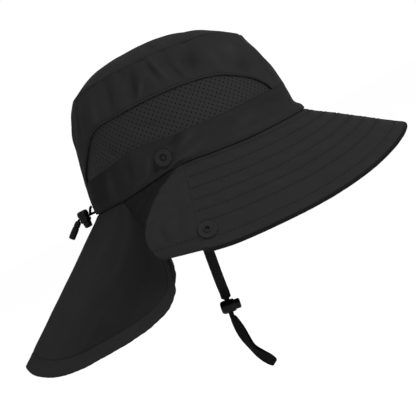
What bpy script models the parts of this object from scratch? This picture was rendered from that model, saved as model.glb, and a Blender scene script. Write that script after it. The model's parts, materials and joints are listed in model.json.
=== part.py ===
"""Sun hat: bucket crown with mesh vents, quilted brim, folding gussets, neck cape,
chin strap with a cord lock, and a rear drawcord with a cord lock.

Frame: metres, +Z up, front of the hat towards -Y, the wearer's right towards -X.
The origin is the centre of the head opening, level with the band's lower edge.
Angles run round the head from 0 at the front to 180 at the back, positive to the left.
"""
import math

import bmesh
import bpy
from mathutils import Matrix, Vector

# Clearance between touching pieces
GAP = 0.0003

# Head opening and crown
HEAD_LENGTH = 0.205
HEAD_WIDTH = 0.164
CROWN_HEIGHT = 0.097
CROWN_LEAN = 0.026
TIP_RISE = 0.0175
TIP_APEX_BACK = 0.014
BAND_HEIGHT = 0.029

# Cloth thicknesses
CROWN_CLOTH = 0.0013
BAND_CLOTH = 0.0018
MESH_CLOTH = 0.0012
BRIM_CLOTH = 0.0020
CAPE_CLOTH = 0.0012
HEM_CLOTH = 0.0026
GUSSET_HEM_CLOTH = 0.0018

# Brim, gussets and cape
BRIM_WIDTH = 0.090
GUSSET_LENGTH = 0.058
CAPE_LENGTH = 0.110
HEM_WIDTH = 0.0095
MESH_UNDERLAP = 0.004
SEAM_ANGLE = 98.6
FOLD_ANGLE = 100.6
CAPE_ANGLE = 138.0

# Snaps
BAND_SNAP_DIAMETER = 0.015
BRIM_SNAP_DIAMETER = 0.0165
SNAP_THICKNESS = 0.0026
SNAP_EYE_DIAMETER = 0.0050
SNAP_EDGE = 0.0009
BAND_SNAP_ANGLE = 105.5
BAND_SNAP_HEIGHT = 0.0175
BRIM_SNAP_ANGLE = 96.0
BRIM_SNAP_REACH = 0.072

# Chin strap and its lock
STRAP_WIDTH = 0.009
STRAP_THICKNESS = 0.0013
STRAP_GATHERED = 0.0045
CHIN_LOCK_DIAMETER = 0.0120
CHIN_LOCK_LENGTH = 0.0130
CHIN_BUTTON_DIAMETER = 0.0092
CHIN_BUTTON_LENGTH = 0.0026
CHIN_LOCK_BACK = 0.0362
CHIN_LOCK_DROP = 0.1240
CHIN_LOCK_TILT = 9.0

# Rear drawcord and its lock
CORD_DIAMETER = 0.0024
REAR_LOCK_DIAMETER = 0.0105
REAR_LOCK_LENGTH = 0.0108
REAR_BUTTON_DIAMETER = 0.0072
REAR_BUTTON_LENGTH = 0.0026
REAR_LOCK_BEHIND = 0.0107
REAR_LOCK_RISE = 0.0032
CORD_END_DIAMETER = 0.0060
CORD_END_LENGTH = 0.0140

# Cord locks: wall of the body and travel of the plunger
LOCK_WALL = 0.0012
LOCK_TRAVEL = 0.0022
CORD_END_SLOPE = 41.0
LOCK_EDGE = 0.0006

# In each table the row past the middle of the front or back repeats the one before it,
# so the curve runs level there.
# Height to the tip seam as shares of CROWN_HEIGHT, inset at that seam of CROWN_LEAN
CROWN_ROWS = (
    # angle, seam height, seam inset
    (-12, 0.850, 0.78),
    (0, 0.845, 0.79),
    (12, 0.850, 0.78),
    (28, 0.900, 0.74),
    (50, 0.975, 0.73),
    (90, 1.030, 0.79),
    (130, 1.035, 0.92),
    (160, 1.015, 1.00),
    (180, 1.005, 1.02),
    (200, 1.015, 1.00),
)
# Inset on the way up, as shares of the inset at the tip seam
CROWN_PROFILE = (
    # share of the height, inset in front, inset elsewhere
    (0.00, 0.00, 0.00),
    (0.06, 0.11, 0.00),
    (0.12, 0.28, 0.00),
    (0.25, 0.31, 0.08),
    (0.50, 0.41, 0.27),
    (0.75, 0.66, 0.49),
    (0.90, 0.88, 0.74),
    (1.00, 1.00, 1.00),
)
# Dents of the soft crown, depth as a share of CROWN_LEAN, inward positive
CROWN_DENTS = (
    # angle, height share, depth, angle spread, height spread
    (-70, 0.80, 0.110, 7, 0.14),
    (-45, 0.66, 0.090, 9, 0.12),
    (-57, 0.84, -0.060, 8, 0.10),
    (-84, 0.90, 0.100, 6, 0.12),
    (-106, 0.86, 0.100, 6, 0.16),
    (-96, 0.83, -0.060, 6, 0.12),
    (-122, 0.88, 0.080, 7, 0.14),
    (-140, 0.84, -0.060, 9, 0.14),
    (-168, 0.78, 0.070, 9, 0.14),
    (-20, 0.74, -0.050, 9, 0.14),
    (18, 0.78, 0.070, 9, 0.14),
    (48, 0.82, 0.100, 8, 0.14),
    (66, 0.78, -0.060, 8, 0.12),
    (88, 0.86, 0.100, 7, 0.14),
    (112, 0.84, 0.090, 8, 0.14),
    (134, 0.86, -0.060, 9, 0.14),
    (160, 0.80, 0.080, 9, 0.14),
    (-46, 0.17, 0.050, 12, 0.10),
    (-125, 0.20, 0.050, 9, 0.12),
    (56, 0.17, 0.045, 12, 0.10),
    (122, 0.20, 0.050, 9, 0.12),
)
# Band edges as shares of BAND_HEIGHT above the band's lower level
BAND_ROWS = (
    # angle, top edge, bottom edge
    (-35, 0.97, -0.02),
    (0, 0.95, 0.02),
    (35, 0.97, -0.02),
    (65, 0.98, 0.00),
    (80, 1.02, 0.08),
    (92, 1.08, 0.17),
    (98.6, 1.11, 0.21),
    (106, 1.18, 0.20),
    (120, 1.24, 0.10),
    (136, 1.12, 0.02),
    (160, 1.02, 0.00),
    (180, 1.00, 0.00),
    (200, 1.02, 0.00),
)
# Upper edge of the mesh vent, height as a share of CROWN_HEIGHT
ARCH_ROWS = (
    # angle, height
    (31, 0.27),
    (35, 0.35),
    (43, 0.455),
    (51, 0.53),
    (62, 0.61),
    (76, 0.66),
    (90, 0.685),
    (106, 0.695),
    (122, 0.69),
    (134, 0.68),
    (142, 0.64),
    (149, 0.56),
    (157, 0.45),
    (169, 0.29),
)
# Brim edge measured from the band's lower edge, as shares of BRIM_WIDTH
BRIM_ROWS = (
    # angle, sideways, ahead, drop
    (-10, -0.085, 0.800, 0.590),
    (0, 0.000, 0.815, 0.565),
    (10, 0.085, 0.800, 0.590),
    (20, 0.170, 0.760, 0.635),
    (30, 0.250, 0.690, 0.690),
    (45, 0.355, 0.555, 0.760),
    (60, 0.430, 0.380, 0.800),
    (75, 0.480, 0.190, 0.800),
    (90, 0.500, -0.050, 0.770),
    (98.6, 0.510, -0.200, 0.715),
)
# Outer fold and inner crease of the gusset, back and sideways from the head centre as
# shares of half the head's length and width, drop as a share of GUSSET_LENGTH
FOLD_ROWS = (
    # share down, back, sideways, drop
    (0.00, 0.185, 0.970, -0.09),
    (0.12, 0.300, 1.020, 0.00),
    (0.25, 0.415, 1.080, 0.10),
    (0.40, 0.530, 1.150, 0.25),
    (0.55, 0.630, 1.220, 0.43),
    (0.68, 0.690, 1.270, 0.60),
    (0.80, 0.700, 1.310, 0.77),
    (0.90, 0.685, 1.330, 0.88),
    (1.00, 0.650, 1.350, 1.00),
)
CREASE_ROWS = (
    # share down, back, sideways, drop
    (0.00, 0.750, 0.640, 0.00),
    (0.30, 0.710, 0.740, 0.22),
    (0.60, 0.665, 0.900, 0.54),
    (1.00, 0.650, 1.120, 1.00),
)
# Lower edge of the cape from one front corner to the middle of the back, with back and
# sideways as above and drop as a share of CAPE_LENGTH
CAPE_ROWS = (
    # share round, back, sideways, drop
    (0.00, 0.665, 1.120, 0.535),
    (0.08, 0.690, 1.150, 0.685),
    (0.16, 0.720, 1.155, 0.790),
    (0.26, 0.815, 1.150, 0.870),
    (0.38, 1.000, 1.110, 0.925),
    (0.50, 1.220, 1.025, 0.955),
    (0.62, 1.450, 0.900, 0.970),
    (0.74, 1.690, 0.735, 0.980),
    (0.85, 1.905, 0.530, 0.950),
    (0.94, 2.060, 0.260, 0.878),
    (1.00, 2.107, 0.000, 0.805),
    (1.06, 2.060, -0.260, 0.878),
)
# Waves of the hanging cape, inward positive, depth as a share of CAPE_LENGTH
CAPE_WAVES = (
    # share round, share down, depth, spread round, spread down
    (-0.52, 0.62, 0.030, 0.14, 0.30),
    (-0.24, 0.80, -0.022, 0.14, 0.30),
    (-0.78, 0.30, 0.014, 0.12, 0.24),
    (0.50, 0.66, 0.028, 0.15, 0.30),
    (0.22, 0.82, -0.020, 0.14, 0.30),
    (0.80, 0.34, 0.014, 0.12, 0.24),
)
# Each chin strap from its sewn end down to the lock, in metres
STRAP_ROUTE = (
    # sideways, back, up, share of full width, twist in degrees
    (0.0757, 0.0200, 0.0150, 1.00, -9),
    (0.0760, 0.0200, 0.0080, 1.00, -9),
    (0.0740, 0.0203, 0.0000, 1.00, -6),
    (0.0700, 0.0222, -0.0200, 1.00, 0),
    (0.0615, 0.0252, -0.0430, 1.00, 0),
    (0.0490, 0.0288, -0.0660, 1.00, 0),
    (0.0320, 0.0316, -0.0870, 1.00, 0),
    (0.0150, 0.0332, -0.1003, 0.90, 0),
    (0.0055, 0.0338, -0.1063, 0.72, 0),
    (0.0018, 0.0340, -0.1090, 0.60, 0),
    (0.0004, 0.0342, -0.1115, 0.52, 0),
)
# The two ends of the strap below the lock, lying on each other
TAIL_ROUTE = (
    # back, up, share of full width, twist in degrees
    (0.0372, -0.1360, 0.70, 4),
    (0.0367, -0.1450, 0.92, 16),
    (0.0360, -0.1550, 0.96, 42),
    (0.0342, -0.1650, 0.96, 64),
    (0.0304, -0.1740, 1.00, 40),
    (0.0256, -0.1820, 1.00, 14),
    (0.0226, -0.1868, 0.75, 8),
)
# Each drawcord from the band through the lock to the cord end, in metres
CORD_ROUTE = (
    # sideways, behind the band, height of the right cord, height of the left cord
    (0.0062, 0.0004, 0.0088, 0.0030),
    (0.0060, 0.0017, 0.0086, 0.0030),
    (0.0044, 0.0032, 0.0066, 0.0031),
    (0.0024, 0.0042, 0.0045, 0.0032),
    (0.00145, 0.0053, 0.0033, 0.0032),
    (0.00135, 0.0072, 0.0032, 0.0032),
    (0.00135, 0.0107, 0.0032, 0.0032),
    (0.00135, 0.0141, 0.0032, 0.0032),
    (0.00135, 0.0159, 0.0031, 0.0031),
    (0.00135, 0.0173, 0.0021, 0.0021),
    (0.00135, 0.0185, 0.0008, 0.0008),
)


def smooth(rows, key, column):
    """Value of a table's column at a key, on a smooth curve through its rows."""
    keys = [row[0] for row in rows]
    key = min(max(key, keys[0]), keys[-1])
    low = max(k for k in range(len(rows) - 1) if keys[k] <= key)

    def slope(k):
        before, after = max(k - 1, 0), min(k + 1, len(rows) - 1)
        return (rows[after][column] - rows[before][column]) / (keys[after] - keys[before])

    span = keys[low + 1] - keys[low]
    s = (key - keys[low]) / span
    start, end = rows[low][column], rows[low + 1][column]
    rise, fall = slope(low) * span, slope(low + 1) * span
    return (start * (2 * s**3 - 3 * s**2 + 1) + rise * (s**3 - 2 * s**2 + s)
            + end * (3 * s**2 - 2 * s**3) + fall * (s**3 - s**2))


def turned(angle):
    """Angle from the front, the same to the left and to the right."""
    return abs((angle + 180) % 360 - 180)


def bump(offset, spread):
    return math.exp(-(offset / spread) ** 2)


def oval(angle, inset):
    """Point on the head oval, moved inward by the inset."""
    a = math.radians(angle)
    return (HEAD_WIDTH / 2 - inset) * math.sin(a), -(HEAD_LENGTH / 2 - inset) * math.cos(a)


def seam_height(angle):
    return smooth(CROWN_ROWS, turned(angle), 1) * CROWN_HEIGHT


def crown_point(angle, height, inset=0.0):
    """Point on the crown's outer surface, or inside it by the inset."""
    side = turned(angle)
    share = height / seam_height(angle)
    front = max(math.cos(math.radians(side)), 0.0) ** 2
    profile = front * smooth(CROWN_PROFILE, share, 1) + (1 - front) * smooth(CROWN_PROFILE, share, 2)
    lean = smooth(CROWN_ROWS, side, 2) * CROWN_LEAN * profile
    for at, level, depth, wide, tall in CROWN_DENTS:
        away = (angle - at + 180) % 360 - 180
        lean += depth * CROWN_LEAN * bump(away, wide) * bump(share - level, tall)
    x, y = oval(angle, lean + inset)
    return Vector((x, y, height))


def tip_point(angle, reach):
    """Point on the domed tip, reach 0 at its top and 1 at its seam."""
    seam = crown_point(angle, seam_height(angle))
    apex = Vector((0, TIP_APEX_BACK, CROWN_HEIGHT + TIP_RISE))
    flat = apex.lerp(seam, reach)
    flat.z = apex.z - (apex.z - seam.z) * reach**2.5
    return flat


def band_top(angle):
    return smooth(BAND_ROWS, turned(angle), 1) * BAND_HEIGHT


def band_bottom(angle):
    return smooth(BAND_ROWS, turned(angle), 2) * BAND_HEIGHT


def arch_height(angle):
    """Upper edge of the mesh vent, or the band's top edge where there is no mesh."""
    side = turned(angle)
    if side <= ARCH_ROWS[0][0] or side >= ARCH_ROWS[-1][0]:
        return band_top(angle)
    return max(smooth(ARCH_ROWS, side, 1) * CROWN_HEIGHT, band_top(angle))


def sewn_line(angle):
    """Line under the band's lower edge where the brim, gussets and cape are sewn."""
    base = crown_point(angle, max(band_bottom(angle), 0.0), BAND_CLOTH / 2)
    base.z = band_bottom(angle) - 2 * GAP
    return base


def brim_point(angle, reach):
    """Point on the brim's upper side, reach 0 at the band and 1 at the brim's edge."""
    side = turned(angle)
    hand = math.copysign(1, math.sin(math.radians(angle)))
    x, y = oval(angle, BAND_CLOTH / 2)
    edge = Vector((x + hand * smooth(BRIM_ROWS, side, 1) * BRIM_WIDTH,
                   y - smooth(BRIM_ROWS, side, 2) * BRIM_WIDTH,
                   -smooth(BRIM_ROWS, side, 3) * BRIM_WIDTH))
    return sewn_line(angle).lerp(edge, reach)


def table_point(rows, share, hand, drop):
    return Vector((hand * smooth(rows, share, 2) * HEAD_WIDTH / 2,
                   smooth(rows, share, 1) * HEAD_LENGTH / 2,
                   -smooth(rows, share, 3) * drop))


def fold_point(share, hand):
    return table_point(FOLD_ROWS, share, hand, GUSSET_LENGTH)


def crease_point(share, hand):
    return table_point(CREASE_ROWS, share, hand, GUSSET_LENGTH)


def patch(top, bottom, start, end, across, down):
    """Point inside four edges, on the surface that blends them."""
    sides = start(down).lerp(end(down), across)
    ends = top(across).lerp(bottom(across), down)
    corners = top(0).lerp(top(1), across).lerp(bottom(0).lerp(bottom(1), across), down)
    return sides + ends - corners


def gusset_point(across, down, hand):
    """Point on a gusset: across 0 at the brim's seam, 0.5 at the fold, 1 at the crease."""
    if across <= 0.5:
        s = across * 2
        top = lambda c: sewn_line(hand * (SEAM_ANGLE + (FOLD_ANGLE - SEAM_ANGLE) * c))
        bottom = lambda c: brim_point(hand * SEAM_ANGLE, 1).lerp(fold_point(1, hand), c)
        start = lambda q: brim_point(hand * SEAM_ANGLE, q)
        return patch(top, bottom, start, lambda q: gusset_fold(q, hand), s, down)
    s = across * 2 - 1
    top = lambda c: sewn_line(hand * (FOLD_ANGLE + (CAPE_ANGLE - FOLD_ANGLE) * c))
    bottom = lambda c: fold_point(1, hand).lerp(crease_point(1, hand), c)
    return patch(top, bottom, lambda q: gusset_fold(q, hand), lambda q: gusset_crease(q, hand), s, down)


def gusset_fold(down, hand):
    """The outer fold, starting on the sewn line."""
    start = sewn_line(hand * FOLD_ANGLE)
    return fold_point(down, hand) + (start - fold_point(0, hand)) * (1 - down) ** 3


def gusset_crease(down, hand):
    """The inner crease, starting on the sewn line."""
    start = sewn_line(hand * CAPE_ANGLE)
    return crease_point(down, hand) + (start - crease_point(0, hand)) * (1 - down) ** 3


def cape_point(across, down):
    """Point on the cape: across -1 at the right crease, 0 at the back, 1 at the left crease."""
    hand = 1 if across > 0 else -1
    round_share = 1 - abs(across)
    top = sewn_line(hand * (180 - (180 - CAPE_ANGLE) * abs(across)))
    hem = table_point(CAPE_ROWS, round_share, hand, CAPE_LENGTH)
    point = top.lerp(hem, down)
    pull = max(1 - round_share / 0.22, 0.0) ** 2
    side_line = gusset_crease(down, hand) - sewn_line(hand * CAPE_ANGLE).lerp(
        table_point(CAPE_ROWS, 0, hand, CAPE_LENGTH), down)
    point += side_line * pull
    for at, level, depth, wide, tall in CAPE_WAVES:
        centre = (1 - abs(at)) * math.copysign(1, at)
        share = bump(across - centre, wide) * bump(down - level, tall) * (1 - pull)
        inward = Vector((-hem.x, -hem.y / 2, 0)).normalized()
        point += inward * (depth * CAPE_LENGTH * share)
    return point


def reset():
    """Clear the scene and make the two collections."""
    for item in list(bpy.data.objects):
        bpy.data.objects.remove(item, do_unlink=True)
    parts = bpy.data.collections.new("sun_hat")
    cutters = bpy.data.collections.new("cutters")
    bpy.context.scene.collection.children.link(parts)
    bpy.context.scene.collection.children.link(cutters)
    return parts, cutters


PARTS, CUTTERS = reset()


def material(name, grey, roughness):
    """Principled material of one neutral grey."""
    made = bpy.data.materials.new(name)
    made.use_nodes = True
    shader = made.node_tree.nodes["Principled BSDF"]
    shader.inputs["Base Color"].default_value = (grey, grey, grey, 1)
    shader.inputs["Roughness"].default_value = roughness
    shader.inputs["Metallic"].default_value = 0.0
    made.diffuse_color = (grey, grey, grey, 1)
    return made


CLOTH = material("black_cloth", 0.024, 0.85)
CAPE = material("black_cape_cloth", 0.018, 0.88)
MESH = material("black_mesh", 0.020, 0.80)
TAPE = material("black_binding", 0.022, 0.85)
LACE = material("black_lace", 0.012, 0.80)
PLASTIC = material("black_plastic", 0.008, 0.35)
SNAP = material("black_snap", 0.020, 0.55)


def new_object(name, mesh, surface, collection=PARTS):
    made = bpy.data.objects.new(name, mesh)
    if surface is not None:
        mesh.materials.append(surface)
    collection.objects.link(made)
    return made


def panel(name, point, columns, rows, thickness, surface, offset=-1.0):
    """Cloth panel: a grid laid on a surface, given its thickness by Solidify.

    The grid's columns run round the head towards the left and its rows run up, so its
    outer side faces out.
    """
    grid = bmesh.new()
    bmesh.ops.create_grid(grid, x_segments=columns, y_segments=rows, size=0.5)
    for vertex in grid.verts:
        vertex.co = point(vertex.co.x + 0.5, vertex.co.y + 0.5)
    bmesh.ops.remove_doubles(grid, verts=grid.verts, dist=0.00002)
    mesh = bpy.data.meshes.new(name)
    grid.to_mesh(mesh)
    grid.free()
    mesh.shade_smooth()
    mesh.set_sharp_from_angle(angle=math.radians(50))
    made = new_object(name, mesh, surface)
    shell = made.modifiers.new("thickness", "SOLIDIFY")
    shell.thickness = thickness
    shell.offset = offset
    return made


def turn(name, profile, surface, steps=16, collection=PARTS):
    """Turned piece: a profile of radius and height pairs, listed down its outer side."""
    mesh = bpy.data.meshes.new(name)
    mesh.from_pydata([(r, 0, z) for r, z in profile], [(k, k + 1) for k in range(len(profile) - 1)], [])
    made = new_object(name, mesh, surface, collection)
    screw = made.modifiers.new("turn", "SCREW")
    screw.angle = math.tau
    screw.steps = steps
    screw.render_steps = steps
    screw.use_merge_vertices = True
    screw.merge_threshold = 0.00001
    screw.use_smooth_shade = True
    return made


def block(name, size, collection=CUTTERS):
    """Box cutter of the given sizes about its centre."""
    box = bmesh.new()
    bmesh.ops.create_cube(box, size=1.0)
    bmesh.ops.scale(box, vec=size, verts=box.verts)
    mesh = bpy.data.meshes.new(name)
    box.to_mesh(mesh)
    box.free()
    made = new_object(name, mesh, None, collection)
    made.hide_render = True
    made.display_type = "WIRE"
    return made


def cut(target, cutter):
    boolean = target.modifiers.new("cut", "BOOLEAN")
    boolean.operation = "DIFFERENCE"
    boolean.object = cutter


def place(target, parent, location=(0, 0, 0)):
    target.parent = parent
    target.location = location


def steps_between(low, high, share):
    return low + (high - low) * share


def along(points, share):
    """Point on a smooth curve through the route's points, and its direction."""
    place_at = min(max(share, 0.0), 1.0) * (len(points) - 1)
    low = min(int(place_at), len(points) - 2)
    s = place_at - low

    def slope(k):
        return (points[min(k + 1, len(points) - 1)] - points[max(k - 1, 0)]) / 2

    start, end = points[low], points[low + 1]
    rise, fall = slope(low), slope(low + 1)
    position = (start * (2 * s**3 - 3 * s**2 + 1) + rise * (s**3 - 2 * s**2 + s)
                + end * (3 * s**2 - 2 * s**3) + fall * (s**3 - s**2))
    heading = (start - end) * (6 * s**2 - 6 * s) + rise * (3 * s**2 - 4 * s + 1) + fall * (3 * s**2 - 2 * s)
    return position, heading


# Crown
def side_point(column, row):
    angle = column * 360 - 180
    low = arch_height(angle) + GAP
    return crown_point(angle, steps_between(low, seam_height(angle) - 2 * GAP, row))


panel("crown_side", side_point, 72, 5, CROWN_CLOTH, CLOTH)


TIP_REACH = HEAD_WIDTH / 2 - CROWN_LEAN


def dome_point(column, row):
    return tip_point(column * 360 - 180, (1 - row) * (1 - 2 * GAP / TIP_REACH))


panel("crown_tip", dome_point, 36, 5, CROWN_CLOTH, CLOTH)


def band_point(column, row):
    angle = column * 360 - 180
    height = steps_between(band_bottom(angle), band_top(angle) - GAP, row)
    return crown_point(angle, max(height, 0.0)) + Vector((0, 0, min(height, 0.0)))


panel("crown_band", band_point, 72, 2, BAND_CLOTH, CLOTH)

MESH_START = ARCH_ROWS[0][0] - 1.0
MESH_END = ARCH_ROWS[-1][0] + 0.6


def mesh_point(column, row, hand):
    angle = steps_between(MESH_START, MESH_END, column if hand > 0 else 1 - column) * hand
    low = band_top(angle) - MESH_UNDERLAP
    high = max(arch_height(angle), band_top(angle)) + MESH_UNDERLAP
    return crown_point(angle, steps_between(low, high, row), max(CROWN_CLOTH, BAND_CLOTH) + 2 * GAP)


for side_name, side_hand in (("right", -1), ("left", 1)):
    panel("mesh_vent_" + side_name, lambda c, r, h=side_hand: mesh_point(c, r, h), 28, 3, MESH_CLOTH, MESH)

# Brim and its hem
HEM_SHARE = HEM_WIDTH / BRIM_WIDTH
EDGE_SHARE = GAP / BRIM_WIDTH


def brim_angle(column):
    return steps_between(-SEAM_ANGLE, SEAM_ANGLE, column)


panel("brim", lambda c, r: brim_point(brim_angle(c), (1 - r) * (1 - HEM_SHARE - EDGE_SHARE)),
      40, 5, BRIM_CLOTH, CLOTH)
panel("brim_hem", lambda c, r: brim_point(brim_angle(c), 1 - r * HEM_SHARE), 40, 1, HEM_CLOTH, TAPE)

# Gussets and their hems
GUSSET_HEM_SHARE = HEM_WIDTH / (GUSSET_LENGTH + HEM_WIDTH)
SEAM_SHARE = 2 * GAP / GUSSET_LENGTH


def gusset_place(column, down, hand):
    across = column if hand > 0 else 1 - column
    return gusset_point(SEAM_SHARE + across * (1 - 2 * SEAM_SHARE), down, hand)


for side_name, side_hand in (("right", -1), ("left", 1)):
    panel("gusset_" + side_name,
          lambda c, r, h=side_hand: gusset_place(c, (1 - r) * (1 - GUSSET_HEM_SHARE - 1.5 * SEAM_SHARE), h),
          14, 6, CAPE_CLOTH, CLOTH)
    panel("gusset_hem_" + side_name,
          lambda c, r, h=side_hand: gusset_place(c, 1 - r * GUSSET_HEM_SHARE, h),
          14, 1, GUSSET_HEM_CLOTH, TAPE)

# Cape and its hem
CAPE_HEM_SHARE = HEM_WIDTH / CAPE_LENGTH
CAPE_SIDE_SHARE = 4 * GAP / CAPE_LENGTH


def cape_place(column, down):
    across = steps_between(1, -1, column) * (1 - CAPE_SIDE_SHARE)
    return cape_point(across, down)


panel("neck_cape", lambda c, r: cape_place(c, (1 - r) * (1 - CAPE_HEM_SHARE - GAP / CAPE_LENGTH)),
      36, 7, CAPE_CLOTH, CAPE)
panel("cape_hem", lambda c, r: cape_place(c, 1 - r * CAPE_HEM_SHARE), 36, 1, HEM_CLOTH, CAPE)


# Snaps
def seated_frame(point, radius):
    """Frame on a surface: its Z along the surface's normal, clear of the surface within the radius."""
    centre = point(0, 0)
    level = (point(radius, 0) - point(-radius, 0)).normalized()
    rising = (point(0, radius) - point(0, -radius)).normalized()
    normal = level.cross(rising).normalized()
    rim = [point(radius * math.cos(k * math.tau / 12), radius * math.sin(k * math.tau / 12)) for k in range(12)]
    lift = max([0.0] + [(place_on - centre).dot(normal) for place_on in rim])
    across = rising.cross(normal).normalized()
    frame = Matrix((across, normal.cross(across), normal)).transposed().to_4x4()
    frame.translation = centre + normal * (lift + GAP)
    return frame


def snap(name, diameter, frame):
    """Round snap: a flat ring about a sunken eye."""
    radius, eye = diameter / 2, SNAP_EYE_DIAMETER / 2
    profile = [
        (0, SNAP_THICKNESS * 0.70), (eye * 0.55, SNAP_THICKNESS * 0.62), (eye * 0.70, SNAP_THICKNESS * 0.40),
        (eye, SNAP_THICKNESS * 0.40), (eye + SNAP_EDGE / 2, SNAP_THICKNESS),
        (radius - SNAP_EDGE, SNAP_THICKNESS), (radius - SNAP_EDGE * 0.3, SNAP_THICKNESS - SNAP_EDGE * 0.3),
        (radius, SNAP_THICKNESS - SNAP_EDGE), (radius, 0), (0, 0)]
    made = turn(name, profile, SNAP)
    made.matrix_world = frame
    return made


def band_snap_place(aside, up, hand):
    """Point of the band by distances from the snap's middle."""
    angle = hand * BAND_SNAP_ANGLE + math.degrees(aside / (HEAD_LENGTH / 2))
    return crown_point(angle, BAND_SNAP_HEIGHT + up)


def brim_snap_place(aside, up, hand):
    """Point of the brim by distances from the snap's middle."""
    angle = hand * BRIM_SNAP_ANGLE + math.degrees(aside / (HEAD_LENGTH / 2 + BRIM_WIDTH / 4))
    return brim_point(angle, (BRIM_SNAP_REACH - up) / BRIM_WIDTH)


for side_name, side_hand in (("right", -1), ("left", 1)):
    snap("band_snap_" + side_name, BAND_SNAP_DIAMETER,
         seated_frame(lambda a, u, h=side_hand: band_snap_place(a, u, h), BAND_SNAP_DIAMETER / 2))
    snap("brim_snap_" + side_name, BRIM_SNAP_DIAMETER,
         seated_frame(lambda a, u, h=side_hand: brim_snap_place(a, u, h), BRIM_SNAP_DIAMETER / 2))


# Cord locks
def cord_lock(name, frame, diameter, length, button_diameter, button_length, spread, tall):
    """Spring cord lock: a cup with a plunger, both with a slot for the cord.

    The frame's Z runs out through the button and its X along the cord. The slot is as
    wide as the cords side by side and as tall as one of them, with the clearance round it.
    """
    half = tall / 2 + GAP
    plunger_end = -half - LOCK_WALL
    floor = plunger_end - LOCK_TRAVEL - GAP
    base = floor - LOCK_WALL
    top = base + length
    button = top + LOCK_TRAVEL + GAP
    radius = diameter / 2
    bore = radius - LOCK_WALL
    stem = bore - GAP
    body = turn(name + "_body", [
        (0, floor), (bore, floor), (bore, top), (radius - LOCK_EDGE, top), (radius, top - LOCK_EDGE),
        (radius, base + LOCK_EDGE), (radius - LOCK_EDGE, base), (0, base)], PLASTIC)
    plunger = turn(name + "_plunger", [
        (0, button + button_length), (button_diameter / 2 - LOCK_EDGE, button + button_length),
        (button_diameter / 2, button + button_length - LOCK_EDGE), (button_diameter / 2, button),
        (stem, button), (stem, plunger_end), (0, plunger_end)], PLASTIC)
    width = spread + 2 * GAP
    body_slot = block(name + "_body_slot", (diameter * 2, width, 2 * half))
    plunger_slot = block(name + "_plunger_slot", (diameter * 2, width, 2 * half + LOCK_TRAVEL))
    cut(body, body_slot)
    cut(plunger, plunger_slot)
    for piece in (body, plunger, body_slot):
        piece.matrix_world = frame
    plunger_slot.matrix_world = frame @ Matrix.Translation((0, 0, LOCK_TRAVEL / 2))
    return body, plunger


def framed(x_axis, z_axis, origin):
    frame = Matrix((x_axis, z_axis.cross(x_axis), z_axis)).transposed().to_4x4()
    frame.translation = origin
    return frame


TILT = math.radians(CHIN_LOCK_TILT)
CHIN_UP = Vector((0, -math.sin(TILT), math.cos(TILT)))
CHIN_FRONT = Vector((0, -math.cos(TILT), -math.sin(TILT)))
CHIN_PLACE = Vector((0, CHIN_LOCK_BACK, -CHIN_LOCK_DROP))
PAIR_OFFSET = (STRAP_THICKNESS + GAP) / 2
TAIL_OFFSET = PAIR_OFFSET + 2 * GAP
cord_lock("chin_lock", framed(CHIN_UP, CHIN_FRONT, CHIN_PLACE), CHIN_LOCK_DIAMETER, CHIN_LOCK_LENGTH,
          CHIN_BUTTON_DIAMETER, CHIN_BUTTON_LENGTH, 2 * STRAP_THICKNESS + GAP, STRAP_GATHERED)

BAND_BACK = crown_point(180, REAR_LOCK_RISE).y
REAR_PLACE = Vector((0, BAND_BACK + REAR_LOCK_BEHIND, REAR_LOCK_RISE))
cord_lock("rear_lock", framed(Vector((0, 1, 0)), Vector((0, 0, -1)), REAR_PLACE), REAR_LOCK_DIAMETER,
          REAR_LOCK_LENGTH, REAR_BUTTON_DIAMETER, REAR_BUTTON_LENGTH, 2 * CORD_DIAMETER + GAP, CORD_DIAMETER)


# Chin straps
def strap_route(hand):
    """Middle of one strap, each point with its width share, twist and place in the pair."""
    points = [(Vector((hand * x, y, z)), Vector((width, hand * twist, hand * PAIR_OFFSET)))
              for x, y, z, width, twist in STRAP_ROUTE]
    gathered = STRAP_GATHERED / STRAP_WIDTH
    for reach in (0.75, 0.25, -0.25, -0.75):
        middle = CHIN_PLACE + CHIN_UP * (reach * CHIN_LOCK_DIAMETER)
        points.append((middle, Vector((gathered, 0, hand * PAIR_OFFSET))))
    for y, z, width, twist in TAIL_ROUTE:
        points.append((Vector((0, y, z)), Vector((width, twist, hand * TAIL_OFFSET))))
    return points


def strap_point(route, share, across):
    position, heading = along([row[0] for row in route], share)
    settings, unused = along([row[1] for row in route], share)
    heading.normalize()
    level = (Vector((0, -1, 0)) + heading * heading.y).normalized()
    level = Matrix.Rotation(math.radians(settings.y), 3, heading) @ level
    return position + level * (across * STRAP_WIDTH * settings.x) + level.cross(heading) * settings.z


for side_name, side_hand in (("right", -1), ("left", 1)):
    strap_points = strap_route(side_hand)
    panel("chin_strap_" + side_name, lambda c, r, p=strap_points: strap_point(p, c, r - 0.5),
          52, 1, STRAP_THICKNESS, LACE, offset=0.0)


# Drawcords and their end
def cord(name, route, diameter, surface, steps=18):
    """Round cord: a curve through the route's points with a round section and caps."""
    curve = bpy.data.curves.new(name, "CURVE")
    curve.dimensions = "3D"
    curve.bevel_depth = diameter / 2
    curve.bevel_resolution = 2
    curve.use_fill_caps = True
    spline = curve.splines.new("POLY")
    spline.points.add(steps)
    for k in range(steps + 1):
        position, heading = along(route, k / steps)
        spline.points[k].co = (*position, 1)
    return new_object(name, curve, surface)


for side_name, side_hand, column in (("right", -1, 2), ("left", 1, 3)):
    cord("drawcord_" + side_name,
         [Vector((side_hand * row[0], BAND_BACK + row[1], row[column])) for row in CORD_ROUTE],
         CORD_DIAMETER, LACE)

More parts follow.
